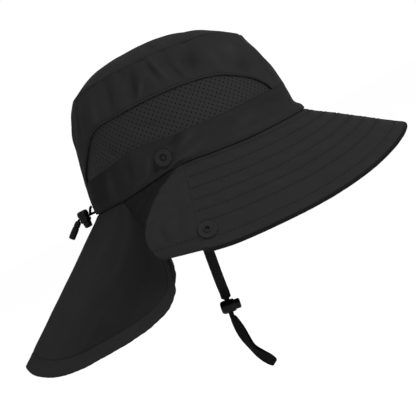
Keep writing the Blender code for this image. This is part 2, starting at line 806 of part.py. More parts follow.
SLOPE = math.radians(CORD_END_SLOPE)
CORD_END_AXIS = Vector((0, -math.cos(SLOPE), math.sin(SLOPE)))
LAST = CORD_ROUTE[-1]
CORD_END_TOP = Vector((0, BAND_BACK + LAST[1], LAST[2])) - CORD_END_AXIS * (2 * GAP)
end_radius = CORD_END_DIAMETER / 2
cord_end = turn("cord_end", [
    (0, 0), (end_radius - LOCK_EDGE, 0), (end_radius, -LOCK_EDGE), (end_radius, LOCK_EDGE - CORD_END_LENGTH),
    (end_radius - LOCK_EDGE, -CORD_END_LENGTH), (0, -CORD_END_LENGTH)], PLASTIC, steps=16)
cord_end.matrix_world = framed(Vector((1, 0, 0)), CORD_END_AXIS, CORD_END_TOP)
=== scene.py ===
"""Sun hat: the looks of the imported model, seen from its right side.

Frame: metres, +Z up, front of the hat towards -Y, the wearer's right towards -X.
The tables repeat the part's own, so each fine piece lies on its solid.
"""
import json
import math

import bmesh
import bpy
import numpy as np
from mathutils import Matrix, Vector

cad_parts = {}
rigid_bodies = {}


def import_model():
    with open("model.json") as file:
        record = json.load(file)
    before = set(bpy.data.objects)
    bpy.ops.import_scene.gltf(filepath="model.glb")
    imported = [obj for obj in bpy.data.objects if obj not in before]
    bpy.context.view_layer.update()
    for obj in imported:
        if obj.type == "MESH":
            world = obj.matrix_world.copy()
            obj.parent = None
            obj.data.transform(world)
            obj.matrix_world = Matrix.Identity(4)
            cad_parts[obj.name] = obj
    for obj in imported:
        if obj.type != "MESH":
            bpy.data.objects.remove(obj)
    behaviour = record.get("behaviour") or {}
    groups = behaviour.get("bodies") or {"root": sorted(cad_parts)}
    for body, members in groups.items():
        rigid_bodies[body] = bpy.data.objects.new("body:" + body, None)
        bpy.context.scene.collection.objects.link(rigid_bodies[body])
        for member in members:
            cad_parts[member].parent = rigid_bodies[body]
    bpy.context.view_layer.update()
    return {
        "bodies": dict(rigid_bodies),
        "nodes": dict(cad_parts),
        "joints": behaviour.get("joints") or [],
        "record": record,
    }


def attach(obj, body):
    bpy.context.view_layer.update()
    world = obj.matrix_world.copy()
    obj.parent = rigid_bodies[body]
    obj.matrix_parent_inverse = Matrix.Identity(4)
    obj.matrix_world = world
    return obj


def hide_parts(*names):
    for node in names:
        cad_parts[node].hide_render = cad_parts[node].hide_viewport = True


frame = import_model()


# Clearance between touching pieces
GAP = 0.0003

# Head opening and crown
HEAD_LENGTH = 0.205
HEAD_WIDTH = 0.164
CROWN_HEIGHT = 0.097
CROWN_LEAN = 0.026
TIP_RISE = 0.0175
TIP_APEX_BACK = 0.014
BAND_HEIGHT = 0.029

# Cloth thicknesses
CROWN_CLOTH = 0.0013
BAND_CLOTH = 0.0018
MESH_CLOTH = 0.0012
BRIM_CLOTH = 0.0020
CAPE_CLOTH = 0.0012
HEM_CLOTH = 0.0026
GUSSET_HEM_CLOTH = 0.0018

# Brim, gussets and cape
BRIM_WIDTH = 0.090
GUSSET_LENGTH = 0.058
CAPE_LENGTH = 0.110
HEM_WIDTH = 0.0095
MESH_UNDERLAP = 0.004
SEAM_ANGLE = 98.6
FOLD_ANGLE = 100.6
CAPE_ANGLE = 138.0

# Snaps
BAND_SNAP_DIAMETER = 0.015
BRIM_SNAP_DIAMETER = 0.0165
SNAP_THICKNESS = 0.0026
BAND_SNAP_ANGLE = 105.5
BAND_SNAP_HEIGHT = 0.0175
BRIM_SNAP_ANGLE = 96.0
BRIM_SNAP_REACH = 0.072

# Chin strap and its lock
STRAP_WIDTH = 0.009
STRAP_THICKNESS = 0.0013
STRAP_GATHERED = 0.0045
CHIN_LOCK_DIAMETER = 0.0120
CHIN_LOCK_LENGTH = 0.0130
CHIN_BUTTON_DIAMETER = 0.0092
CHIN_BUTTON_LENGTH = 0.0026
CHIN_LOCK_BACK = 0.0362
CHIN_LOCK_DROP = 0.1240
CHIN_LOCK_TILT = 9.0

# Rear drawcord and its lock
CORD_DIAMETER = 0.0024
REAR_LOCK_DIAMETER = 0.0105
REAR_LOCK_LENGTH = 0.0108
REAR_BUTTON_DIAMETER = 0.0072
REAR_BUTTON_LENGTH = 0.0026
REAR_LOCK_BEHIND = 0.0107
REAR_LOCK_RISE = 0.0032
CORD_END_DIAMETER = 0.0060
CORD_END_LENGTH = 0.0140

# Cord locks: wall of the body and travel of the plunger
LOCK_WALL = 0.0012
LOCK_TRAVEL = 0.0022
CORD_END_SLOPE = 41.0

# In each table the row past the middle of the front or back repeats the one before it,
# so the curve runs level there.
# Height to the tip seam as shares of CROWN_HEIGHT, inset at that seam of CROWN_LEAN
CROWN_ROWS = (
    # angle, seam height, seam inset
    (-12, 0.850, 0.78),
    (0, 0.845, 0.79),
    (12, 0.850, 0.78),
    (28, 0.900, 0.74),
    (50, 0.975, 0.73),
    (90, 1.030, 0.79),
    (130, 1.035, 0.92),
    (160, 1.015, 1.00),
    (180, 1.005, 1.02),
    (200, 1.015, 1.00),
)
# Inset on the way up, as shares of the inset at the tip seam
CROWN_PROFILE = (
    # share of the height, inset in front, inset elsewhere
    (0.00, 0.00, 0.00),
    (0.06, 0.11, 0.00),
    (0.12, 0.28, 0.00),
    (0.25, 0.31, 0.08),
    (0.50, 0.41, 0.27),
    (0.75, 0.66, 0.49),
    (0.90, 0.88, 0.74),
    (1.00, 1.00, 1.00),
)
# Dents of the soft crown, depth as a share of CROWN_LEAN, inward positive
CROWN_DENTS = (
    # angle, height share, depth, angle spread, height spread
    (-70, 0.80, 0.110, 7, 0.14),
    (-45, 0.66, 0.090, 9, 0.12),
    (-57, 0.84, -0.060, 8, 0.10),
    (-84, 0.90, 0.100, 6, 0.12),
    (-106, 0.86, 0.100, 6, 0.16),
    (-96, 0.83, -0.060, 6, 0.12),
    (-122, 0.88, 0.080, 7, 0.14),
    (-140, 0.84, -0.060, 9, 0.14),
    (-168, 0.78, 0.070, 9, 0.14),
    (-20, 0.74, -0.050, 9, 0.14),
    (18, 0.78, 0.070, 9, 0.14),
    (48, 0.82, 0.100, 8, 0.14),
    (66, 0.78, -0.060, 8, 0.12),
    (88, 0.86, 0.100, 7, 0.14),
    (112, 0.84, 0.090, 8, 0.14),
    (134, 0.86, -0.060, 9, 0.14),
    (160, 0.80, 0.080, 9, 0.14),
    (-46, 0.17, 0.050, 12, 0.10),
    (-125, 0.20, 0.050, 9, 0.12),
    (56, 0.17, 0.045, 12, 0.10),
    (122, 0.20, 0.050, 9, 0.12),
)
# Band edges as shares of BAND_HEIGHT above the band's lower level
BAND_ROWS = (
    # angle, top edge, bottom edge
    (-35, 0.97, -0.02),
    (0, 0.95, 0.02),
    (35, 0.97, -0.02),
    (65, 0.98, 0.00),
    (80, 1.02, 0.08),
    (92, 1.08, 0.17),
    (98.6, 1.11, 0.21),
    (106, 1.18, 0.20),
    (120, 1.24, 0.10),
    (136, 1.12, 0.02),
    (160, 1.02, 0.00),
    (180, 1.00, 0.00),
    (200, 1.02, 0.00),
)
# Upper edge of the mesh vent, height as a share of CROWN_HEIGHT
ARCH_ROWS = (
    # angle, height
    (31, 0.27),
    (35, 0.35),
    (43, 0.455),
    (51, 0.53),
    (62, 0.61),
    (76, 0.66),
    (90, 0.685),
    (106, 0.695),
    (122, 0.69),
    (134, 0.68),
    (142, 0.64),
    (149, 0.56),
    (157, 0.45),
    (169, 0.29),
)
# Brim edge measured from the band's lower edge, as shares of BRIM_WIDTH
BRIM_ROWS = (
    # angle, sideways, ahead, drop
    (-10, -0.085, 0.800, 0.590),
    (0, 0.000, 0.815, 0.565),
    (10, 0.085, 0.800, 0.590),
    (20, 0.170, 0.760, 0.635),
    (30, 0.250, 0.690, 0.690),
    (45, 0.355, 0.555, 0.760),
    (60, 0.430, 0.380, 0.800),
    (75, 0.480, 0.190, 0.800),
    (90, 0.500, -0.050, 0.770),
    (98.6, 0.510, -0.200, 0.715),
)
# Outer fold and inner crease of the gusset, back and sideways from the head centre as
# shares of half the head's length and width, drop as a share of GUSSET_LENGTH
FOLD_ROWS = (
    # share down, back, sideways, drop
    (0.00, 0.185, 0.970, -0.09),
    (0.12, 0.300, 1.020, 0.00),
    (0.25, 0.415, 1.080, 0.10),
    (0.40, 0.530, 1.150, 0.25),
    (0.55, 0.630, 1.220, 0.43),
    (0.68, 0.690, 1.270, 0.60),
    (0.80, 0.700, 1.310, 0.77),
    (0.90, 0.685, 1.330, 0.88),
    (1.00, 0.650, 1.350, 1.00),
)
CREASE_ROWS = (
    # share down, back, sideways, drop
    (0.00, 0.750, 0.640, 0.00),
    (0.30, 0.710, 0.740, 0.22),
    (0.60, 0.665, 0.900, 0.54),
    (1.00, 0.650, 1.120, 1.00),
)
# Lower edge of the cape from one front corner to the middle of the back, with back and
# sideways as above and drop as a share of CAPE_LENGTH
CAPE_ROWS = (
    # share round, back, sideways, drop
    (0.00, 0.665, 1.120, 0.535),
    (0.08, 0.690, 1.150, 0.685),
    (0.16, 0.720, 1.155, 0.790),
    (0.26, 0.815, 1.150, 0.870),
    (0.38, 1.000, 1.110, 0.925),
    (0.50, 1.220, 1.025, 0.955),
    (0.62, 1.450, 0.900, 0.970),
    (0.74, 1.690, 0.735, 0.980),
    (0.85, 1.905, 0.530, 0.950),
    (0.94, 2.060, 0.260, 0.878),
    (1.00, 2.107, 0.000, 0.805),
    (1.06, 2.060, -0.260, 0.878),
)
# Waves of the hanging cape, inward positive, depth as a share of CAPE_LENGTH
CAPE_WAVES = (
    # share round, share down, depth, spread round, spread down
    (-0.52, 0.62, 0.030, 0.14, 0.30),
    (-0.24, 0.80, -0.022, 0.14, 0.30),
    (-0.78, 0.30, 0.014, 0.12, 0.24),
    (0.50, 0.66, 0.028, 0.15, 0.30),
    (0.22, 0.82, -0.020, 0.14, 0.30),
    (0.80, 0.34, 0.014, 0.12, 0.24),
)
# Each chin strap from its sewn end down to the lock, in metres
STRAP_ROUTE = (
    # sideways, back, up, share of full width, twist in degrees
    (0.0757, 0.0200, 0.0150, 1.00, -9),
    (0.0760, 0.0200, 0.0080, 1.00, -9),
    (0.0740, 0.0203, 0.0000, 1.00, -6),
    (0.0700, 0.0222, -0.0200, 1.00, 0),
    (0.0615, 0.0252, -0.0430, 1.00, 0),
    (0.0490, 0.0288, -0.0660, 1.00, 0),
    (0.0320, 0.0316, -0.0870, 1.00, 0),
    (0.0150, 0.0332, -0.1003, 0.90, 0),
    (0.0055, 0.0338, -0.1063, 0.72, 0),
    (0.0018, 0.0340, -0.1090, 0.60, 0),
    (0.0004, 0.0342, -0.1115, 0.52, 0),
)
# The two ends of the strap below the lock, lying on each other
TAIL_ROUTE = (
    # back, up, share of full width, twist in degrees
    (0.0372, -0.1360, 0.70, 4),
    (0.0367, -0.1450, 0.92, 16),
    (0.0360, -0.1550, 0.96, 42),
    (0.0342, -0.1650, 0.96, 64),
    (0.0304, -0.1740, 1.00, 40),
    (0.0256, -0.1820, 1.00, 14),
    (0.0226, -0.1868, 0.75, 8),
)
# Each drawcord from the band through the lock to the cord end, in metres
CORD_ROUTE = (
    # sideways, behind the band, height of the right cord, height of the left cord
    (0.0062, 0.0004, 0.0088, 0.0030),
    (0.0060, 0.0017, 0.0086, 0.0030),
    (0.0044, 0.0032, 0.0066, 0.0031),
    (0.0024, 0.0042, 0.0045, 0.0032),
    (0.00145, 0.0053, 0.0033, 0.0032),
    (0.00135, 0.0072, 0.0032, 0.0032),
    (0.00135, 0.0107, 0.0032, 0.0032),
    (0.00135, 0.0141, 0.0032, 0.0032),
    (0.00135, 0.0159, 0.0031, 0.0031),
    (0.00135, 0.0173, 0.0021, 0.0021),
    (0.00135, 0.0185, 0.0008, 0.0008),
)


def curve(start, end, rise, fall, s):
    """Cubic curve from start to end with the given slopes, at a share s of the way."""
    return (start * (2 * s**3 - 3 * s**2 + 1) + rise * (s**3 - 2 * s**2 + s)
            + end * (3 * s**2 - 2 * s**3) + fall * (s**3 - s**2))


def smooth(rows, key, column):
    """Value of a table's column at a key, on a smooth curve through its rows."""
    keys = [row[0] for row in rows]
    key = min(max(key, keys[0]), keys[-1])
    low = max(k for k in range(len(rows) - 1) if keys[k] <= key)

    def slope(k):
        before, after = max(k - 1, 0), min(k + 1, len(rows) - 1)
        return (rows[after][column] - rows[before][column]) / (keys[after] - keys[before])

    span = keys[low + 1] - keys[low]
    s = (key - keys[low]) / span
    start, end = rows[low][column], rows[low + 1][column]
    rise, fall = slope(low) * span, slope(low + 1) * span
    return curve(start, end, rise, fall, s)


def turned(angle):
    """Angle from the front, the same to the left and to the right."""
    return abs((angle + 180) % 360 - 180)


def bump(offset, spread):
    return math.exp(-(offset / spread) ** 2)


def oval(angle, inset):
    """Point on the head oval, moved inward by the inset."""
    a = math.radians(angle)
    return (HEAD_WIDTH / 2 - inset) * math.sin(a), -(HEAD_LENGTH / 2 - inset) * math.cos(a)


def seam_height(angle):
    return smooth(CROWN_ROWS, turned(angle), 1) * CROWN_HEIGHT


def crown_point(angle, height, inset=0.0):
    """Point on the crown's outer surface, or inside it by the inset."""
    side = turned(angle)
    share = height / seam_height(angle)
    front = max(math.cos(math.radians(side)), 0.0) ** 2
    profile = front * smooth(CROWN_PROFILE, share, 1) + (1 - front) * smooth(CROWN_PROFILE, share, 2)
    lean = smooth(CROWN_ROWS, side, 2) * CROWN_LEAN * profile
    for at, level, depth, wide, tall in CROWN_DENTS:
        away = (angle - at + 180) % 360 - 180
        lean += depth * CROWN_LEAN * bump(away, wide) * bump(share - level, tall)
    x, y = oval(angle, lean + inset)
    return Vector((x, y, height))


def tip_point(angle, reach):
    """Point on the domed tip, reach 0 at its top and 1 at its seam."""
    seam = crown_point(angle, seam_height(angle))
    apex = Vector((0, TIP_APEX_BACK, CROWN_HEIGHT + TIP_RISE))
    flat = apex.lerp(seam, reach)
    flat.z = apex.z - (apex.z - seam.z) * reach**2.5
    return flat


def band_top(angle):
    return smooth(BAND_ROWS, turned(angle), 1) * BAND_HEIGHT


def band_bottom(angle):
    return smooth(BAND_ROWS, turned(angle), 2) * BAND_HEIGHT


def arch_height(angle):
    """Upper edge of the mesh vent, or the band's top edge where there is no mesh."""
    side = turned(angle)
    if side <= ARCH_ROWS[0][0] or side >= ARCH_ROWS[-1][0]:
        return band_top(angle)
    return max(smooth(ARCH_ROWS, side, 1) * CROWN_HEIGHT, band_top(angle))


def sewn_line(angle):
    """Line under the band's lower edge where the brim, gussets and cape are sewn."""
    base = crown_point(angle, max(band_bottom(angle), 0.0), BAND_CLOTH / 2)
    base.z = band_bottom(angle) - 2 * GAP
    return base


def brim_point(angle, reach):
    """Point on the brim's upper side, reach 0 at the band and 1 at the brim's edge."""
    side = turned(angle)
    hand = math.copysign(1, math.sin(math.radians(angle)))
    x, y = oval(angle, BAND_CLOTH / 2)
    edge = Vector((x + hand * smooth(BRIM_ROWS, side, 1) * BRIM_WIDTH,
                   y - smooth(BRIM_ROWS, side, 2) * BRIM_WIDTH,
                   -smooth(BRIM_ROWS, side, 3) * BRIM_WIDTH))
    return sewn_line(angle).lerp(edge, reach)


def table_point(rows, share, hand, drop):
    return Vector((hand * smooth(rows, share, 2) * HEAD_WIDTH / 2,
                   smooth(rows, share, 1) * HEAD_LENGTH / 2,
                   -smooth(rows, share, 3) * drop))


def fold_point(share, hand):
    return table_point(FOLD_ROWS, share, hand, GUSSET_LENGTH)


def crease_point(share, hand):
    return table_point(CREASE_ROWS, share, hand, GUSSET_LENGTH)


def patch(top, bottom, start, end, across, down):
    """Point inside four edges, on the surface that blends them."""
    sides = start(down).lerp(end(down), across)
    ends = top(across).lerp(bottom(across), down)
    corners = top(0).lerp(top(1), across).lerp(bottom(0).lerp(bottom(1), across), down)
    return sides + ends - corners


def gusset_point(across, down, hand):
    """Point on a gusset: across 0 at the brim's seam, 0.5 at the fold, 1 at the crease."""
    if across <= 0.5:
        s = across * 2
        top = lambda c: sewn_line(hand * (SEAM_ANGLE + (FOLD_ANGLE - SEAM_ANGLE) * c))
        bottom = lambda c: brim_point(hand * SEAM_ANGLE, 1).lerp(fold_point(1, hand), c)
        start = lambda q: brim_point(hand * SEAM_ANGLE, q)
        return patch(top, bottom, start, lambda q: gusset_fold(q, hand), s, down)
    s = across * 2 - 1
    top = lambda c: sewn_line(hand * (FOLD_ANGLE + (CAPE_ANGLE - FOLD_ANGLE) * c))
    bottom = lambda c: fold_point(1, hand).lerp(crease_point(1, hand), c)
    return patch(top, bottom, lambda q: gusset_fold(q, hand), lambda q: gusset_crease(q, hand), s, down)


def gusset_fold(down, hand):
    """The outer fold, starting on the sewn line."""
    start = sewn_line(hand * FOLD_ANGLE)
    return fold_point(down, hand) + (start - fold_point(0, hand)) * (1 - down) ** 3


def gusset_crease(down, hand):
    """The inner crease, starting on the sewn line."""
    start = sewn_line(hand * CAPE_ANGLE)
    return crease_point(down, hand) + (start - crease_point(0, hand)) * (1 - down) ** 3


def cape_point(across, down):
    """Point on the cape: across -1 at the right crease, 0 at the back, 1 at the left crease."""
    hand = 1 if across > 0 else -1
    round_share = 1 - abs(across)
    top = sewn_line(hand * (180 - (180 - CAPE_ANGLE) * abs(across)))
    hem = table_point(CAPE_ROWS, round_share, hand, CAPE_LENGTH)
    point = top.lerp(hem, down)
    pull = max(1 - round_share / 0.22, 0.0) ** 2
    side_line = gusset_crease(down, hand) - sewn_line(hand * CAPE_ANGLE).lerp(
        table_point(CAPE_ROWS, 0, hand, CAPE_LENGTH), down)
    point += side_line * pull
    for at, level, depth, wide, tall in CAPE_WAVES:
        centre = (1 - abs(at)) * math.copysign(1, at)
        share = bump(across - centre, wide) * bump(down - level, tall) * (1 - pull)
        inward = Vector((-hem.x, -hem.y / 2, 0)).normalized()
        point += inward * (depth * CAPE_LENGTH * share)
    return point


def steps_between(low, high, share):
    return low + (high - low) * share


def along(points, share):
    """Point on a smooth curve through the route's points, and its direction."""
    place_at = min(max(share, 0.0), 1.0) * (len(points) - 1)
    low = min(int(place_at), len(points) - 2)
    s = place_at - low

    def slope(k):
        return (points[min(k + 1, len(points) - 1)] - points[max(k - 1, 0)]) / 2

    start, end = points[low], points[low + 1]
    rise, fall = slope(low), slope(low + 1)
    position = curve(start, end, rise, fall, s)
    heading = (start - end) * (6 * s**2 - 6 * s) + rise * (3 * s**2 - 4 * s + 1) + fall * (3 * s**2 - 2 * s)
    return position, heading


def band_point(column, row):
    angle = column * 360 - 180
    height = steps_between(band_bottom(angle), band_top(angle) - GAP, row)
    return crown_point(angle, max(height, 0.0)) + Vector((0, 0, min(height, 0.0)))


MESH_START = ARCH_ROWS[0][0] - 1.0
MESH_END = ARCH_ROWS[-1][0] + 0.6


# Hems, seams and edges as shares of their panels
HEM_SHARE = HEM_WIDTH / BRIM_WIDTH
EDGE_SHARE = GAP / BRIM_WIDTH


def brim_angle(column):
    return steps_between(-SEAM_ANGLE, SEAM_ANGLE, column)


GUSSET_HEM_SHARE = HEM_WIDTH / (GUSSET_LENGTH + HEM_WIDTH)
SEAM_SHARE = 2 * GAP / GUSSET_LENGTH


CAPE_HEM_SHARE = HEM_WIDTH / CAPE_LENGTH


def seated_frame(point, radius):
    """Frame on a surface: its Z along the surface's normal, clear of the surface within the radius."""
    centre = point(0, 0)
    level = (point(radius, 0) - point(-radius, 0)).normalized()
    rising = (point(0, radius) - point(0, -radius)).normalized()
    normal = level.cross(rising).normalized()
    rim = [point(radius * math.cos(k * math.tau / 12), radius * math.sin(k * math.tau / 12))
           for k in range(12)]
    lift = max([0.0] + [(place_on - centre).dot(normal) for place_on in rim])
    across = rising.cross(normal).normalized()
    frame = Matrix((across, normal.cross(across), normal)).transposed().to_4x4()
    frame.translation = centre + normal * (lift + GAP)
    return frame


def band_snap_place(aside, up, hand):
    """Point of the band by distances from the snap's middle."""
    angle = hand * BAND_SNAP_ANGLE + math.degrees(aside / (HEAD_LENGTH / 2))
    return crown_point(angle, BAND_SNAP_HEIGHT + up)


def brim_snap_place(aside, up, hand):
    """Point of the brim by distances from the snap's middle."""
    angle = hand * BRIM_SNAP_ANGLE + math.degrees(aside / (HEAD_LENGTH / 2 + BRIM_WIDTH / 4))
    return brim_point(angle, (BRIM_SNAP_REACH - up) / BRIM_WIDTH)


def framed(x_axis, z_axis, origin):
    frame = Matrix((x_axis, z_axis.cross(x_axis), z_axis)).transposed().to_4x4()
    frame.translation = origin
    return frame


TILT = math.radians(CHIN_LOCK_TILT)
CHIN_UP = Vector((0, -math.sin(TILT), math.cos(TILT)))
CHIN_FRONT = Vector((0, -math.cos(TILT), -math.sin(TILT)))
CHIN_PLACE = Vector((0, CHIN_LOCK_BACK, -CHIN_LOCK_DROP))
PAIR_OFFSET = (STRAP_THICKNESS + GAP) / 2
TAIL_OFFSET = PAIR_OFFSET + 2 * GAP


BAND_BACK = crown_point(180, REAR_LOCK_RISE).y
REAR_PLACE = Vector((0, BAND_BACK + REAR_LOCK_BEHIND, REAR_LOCK_RISE))


def strap_route(hand):
    """Middle of one strap, each point with its width share, twist and place in the pair."""
    points = [(Vector((hand * x, y, z)), Vector((width, hand * twist, hand * PAIR_OFFSET)))
              for x, y, z, width, twist in STRAP_ROUTE]
    gathered = STRAP_GATHERED / STRAP_WIDTH
    for reach in (0.75, 0.25, -0.25, -0.75):
        middle = CHIN_PLACE + CHIN_UP * (reach * CHIN_LOCK_DIAMETER)
        points.append((middle, Vector((gathered, 0, hand * PAIR_OFFSET))))
    for y, z, width, twist in TAIL_ROUTE:
        points.append((Vector((0, y, z)), Vector((width, twist, hand * TAIL_OFFSET))))
    return points


def strap_point(route, share, across):
    position, heading = along([row[0] for row in route], share)
    settings = along([row[1] for row in route], share)[0]
    heading.normalize()
    level = (Vector((0, -1, 0)) + heading * heading.y).normalized()
    level = Matrix.Rotation(math.radians(settings.y), 3, heading) @ level
    return position + level * (across * STRAP_WIDTH * settings.x) + level.cross(heading) * settings.z


SLOPE = math.radians(CORD_END_SLOPE)
CORD_END_AXIS = Vector((0, -math.cos(SLOPE), math.sin(SLOPE)))
LAST = CORD_ROUTE[-1]
CORD_END_TOP = Vector((0, BAND_BACK + LAST[1], LAST[2])) - CORD_END_AXIS * (2 * GAP)


# Camera, from the wearer's right
CAMERA_TARGET = (0, 0.0132, -0.0390)
CAMERA_DISTANCE = 2.0
CAMERA_RISE = 1.5
CAMERA_ROLL = 27.22
VIEW_WIDTH = 0.3646


def set_camera():
    """Camera level with the hat, tilted as the hat sits in its picture."""
    rise, roll = math.radians(CAMERA_RISE), math.radians(CAMERA_ROLL)
    back = Vector((-math.cos(rise), 0, math.sin(rise)))
    level = Vector((0, -1, 0))
    up = back.cross(level)
    right = level * math.cos(roll) - up * math.sin(roll)
    upright = level * math.sin(roll) + up * math.cos(roll)
    lens = bpy.data.cameras.new("camera")
    lens.sensor_width = 36
    lens.lens = lens.sensor_width * CAMERA_DISTANCE / VIEW_WIDTH
    lens.clip_start, lens.clip_end = 0.05, 100
    camera = bpy.data.objects.new("camera", lens)
    camera.matrix_world = Matrix((right, upright, back)).transposed().to_4x4()
    camera.location = Vector(CAMERA_TARGET) + back * CAMERA_DISTANCE
    bpy.context.scene.collection.objects.link(camera)
    bpy.context.scene.camera = camera


set_camera()


# Finishes
class Mask:
    """A value on a finish's surface, used in Python sums as a number is."""

    def __init__(self, finish, socket):
        self.finish, self.socket = finish, socket

    def maths(self, operation, *values):
        return self.finish.node("ShaderNodeMath", {"operation": operation}, dict(enumerate(values)))

    def __add__(self, other):
        return self.maths("ADD", self, other)

    __radd__ = __add__

    def __mul__(self, other):
        return self.maths("MULTIPLY", self, other)

    __rmul__ = __mul__

    def __sub__(self, other):
        return self.maths("SUBTRACT", self, other)

    def __rsub__(self, other):
        return self.maths("SUBTRACT", other, self)

    def wave(self, length):
        """1 on crests and 0 in troughs that lie this length apart."""
        return (self * (math.tau / length)).maths_of("SINE") * 0.5 + 0.5

    def maths_of(self, operation):
        """A Math node of this value alone."""
        return self.maths(operation, self)

    def clamped(self):
        return self.finish.node("ShaderNodeClamp", {}, {"Value": self})


class Finish:
    """Procedural finish of cloth, lace or plastic, by places along and up the cloth in millimetres."""

    def __init__(self, name, **uniform):
        self.material = bpy.data.materials.new(name)
        self.material.use_nodes = True
        self.tree = self.material.node_tree
        self.shader = self.tree.nodes["Principled BSDF"]
        for socket, value in uniform.items():
            self.shader.inputs[socket.replace("_", " ")].default_value = value

    def node(self, kind, settings, inputs, out=0):
        made = self.tree.nodes.new(kind)
        for setting, value in settings.items():
            setattr(made, setting, value)
        for socket, value in inputs.items():
            if isinstance(value, Mask):
                self.tree.links.new(value.socket, made.inputs[socket])
            else:
                made.inputs[socket].default_value = value
        return Mask(self, made.outputs[out])

    def feed(self, socket, value):
        self.tree.links.new(value.socket, self.shader.inputs[socket])

    def cloth_place(self):
        """Places along and up the cloth, and its mark for wear and painted shade."""
        place = self.node("ShaderNodeAttribute", {"attribute_name": "cloth"}, {}, "Vector")
        return place, [self.node("ShaderNodeSeparateXYZ", {}, {0: place}, k) for k in range(3)]

    def noise(self, place, scale, detail=2.0):
        return self.node("ShaderNodeTexNoise", {}, {"Vector": place, "Scale": scale, "Detail": detail}, 0)

    def shade(self, share, dark, light):
        """Colour between two greys by a share."""
        return self.node("ShaderNodeMix", {"data_type": "RGBA"},
                         {"Factor": share, 6: (*dark, 1), 7: (*light, 1)}, 2)

    def relief(self, height, depth):
        values = {"Height": height, "Distance": depth, "Strength": 1.0}
        self.feed("Normal", self.node("ShaderNodeBump", {}, values))


def woven(name, grey, roughness, thread=0.42, twill=False, depth=0.00006):
    """Plain or twill cloth with fine uneven threads, paler with wear and darker with painted shade where its
    mark is negative.
    """
    finish = Finish(name, Roughness=roughness, Specular_IOR_Level=0.02)
    place, (along_cloth, up_cloth, wear_and_shade) = finish.cloth_place()
    grain = finish.noise(place, 1.7, 3.0)
    cloudy = finish.noise(place, 0.09, 2.0)
    if twill:
        threads = (along_cloth + up_cloth * 0.8).wave(thread * 1.6)
    else:
        over = along_cloth.wave(thread) * (1 - up_cloth.wave(thread))
        threads = over + (1 - along_cloth.wave(thread)) * up_cloth.wave(thread)
    # Wear raises the tone and a negative mark lowers it: painted shade.
    tone = (threads * 0.16 + grain * 0.55 + cloudy * 0.30 - 0.10).clamped() + wear_and_shade * 0.35
    dark, light = grey * 0.72, grey * 1.34
    tone_colour = finish.shade(tone.clamped(), (dark, dark, dark * 1.01), (light, light, light * 1.01))
    # A negative mark mixes the colour towards near black: painted shade.
    finish.feed("Base Color", finish.node("ShaderNodeMix", {"data_type": "RGBA"}, {
        "Factor": (wear_and_shade * -1).clamped(), 6: tone_colour, 7: (grey * 0.3, grey * 0.3, grey * 0.3, 1)}, 2))
    finish.feed("Roughness", (roughness - 0.10) + grain * 0.16)
    finish.relief(threads * 0.6 + grain * 0.8, depth)
    return finish.material


def knitted(name, grey):
    """Knitted mesh: fine rows of loops between the holes."""
    finish = Finish(name, Roughness=0.62, Specular_IOR_Level=0.04)
    place, (along_cloth, up_cloth, wear_and_shade) = finish.cloth_place()
    grain = finish.noise(place, 2.2, 2.0)
    loops = along_cloth.wave(0.48) * up_cloth.wave(0.66)
    tone = (loops * 0.45 + grain * 0.45 + wear_and_shade * 0.25).clamped()
    dark, light = grey * 0.62, grey * 1.45
    finish.feed("Base Color", finish.shade(tone, (dark, dark, dark), (light, light, light)))
    finish.feed("Roughness", 0.72 - loops * 0.16)
    finish.relief(loops, 0.00010)
    return finish.material


def braided(name, grey, roughness, pitch, depth=0.00012):
    """Woven lace or braid: threads crossing at a slant."""
    finish = Finish(name, Roughness=roughness, Specular_IOR_Level=0.02)
    place, (along_cloth, up_cloth, wear_and_shade) = finish.cloth_place()
    slant = (along_cloth + up_cloth).wave(pitch)
    other = (along_cloth - up_cloth).wave(pitch)
    threads = slant * other
    grain = finish.noise(place, 2.5, 2.0)
    dark, light = grey * 0.6, grey * 1.7
    finish.feed("Base Color", finish.shade((threads * 0.6 + grain * 0.4 + wear_and_shade * 0.3).clamped(),
                                           (dark, dark, dark), (light, light, light)))
    finish.feed("Roughness", roughness - 0.08 + grain * 0.16)
    finish.relief(threads + grain * 0.3, depth)
    return finish.material


def moulded(name, grey, roughness, level, speckle=900.0):
    """Moulded plastic: fine speckle, handling marks and a soft uneven gloss."""
    finish = Finish(name, Roughness=roughness, Specular_IOR_Level=level)
    place = finish.node("ShaderNodeNewGeometry", {}, {}, "Position")
    fine, broad = finish.noise(place, speckle, 2.0), finish.noise(place, 160.0, 3.0)
    dark, light = grey * 0.75, grey * 1.4
    finish.feed("Base Color", finish.shade((fine * 0.5 + broad * 0.5).clamped(), (dark, dark, dark),
                                           (light, light, light)))
    finish.feed("Roughness", roughness - 0.12 + broad * 0.24)
    finish.relief(fine, 0.00002)
    return finish.material


BRIM_CLOTH_FINISH = woven("brim_cloth", 0.0136, 0.86)
CROWN_CLOTH_FINISH = woven("crown_cloth", 0.0132, 0.86)
BAND_CLOTH_FINISH = woven("band_cloth", 0.0120, 0.86)
CAPE_CLOTH_FINISH = woven("cape_cloth", 0.0135, 0.90, thread=0.50, twill=True)
MESH_FINISH = knitted("vent_mesh", 0.0154)
# Near black for the deep rings and closed bottoms of the vent's holes: painted shade.
HOLE_SHADE_FINISH = knitted("vent_mesh_hole_shade", 0.0050)
LACE_FINISH = braided("flat_lace", 0.0054, 0.72, 1.1)
CORD_FINISH = braided("round_cord", 0.0016, 0.70, 1.3)
THREAD_FINISH = braided("sewing_thread", 0.0110, 0.75, 0.5, 0.00004)
CAPE_THREAD_FINISH = braided("cape_sewing_thread", 0.0070, 0.80, 0.5, 0.00004)
SNAP_FINISH = moulded("painted_snap", 0.0112, 0.60, 0.04)
LOCK_FINISH = moulded("lock_plastic", 0.0012, 0.32, 0.10)


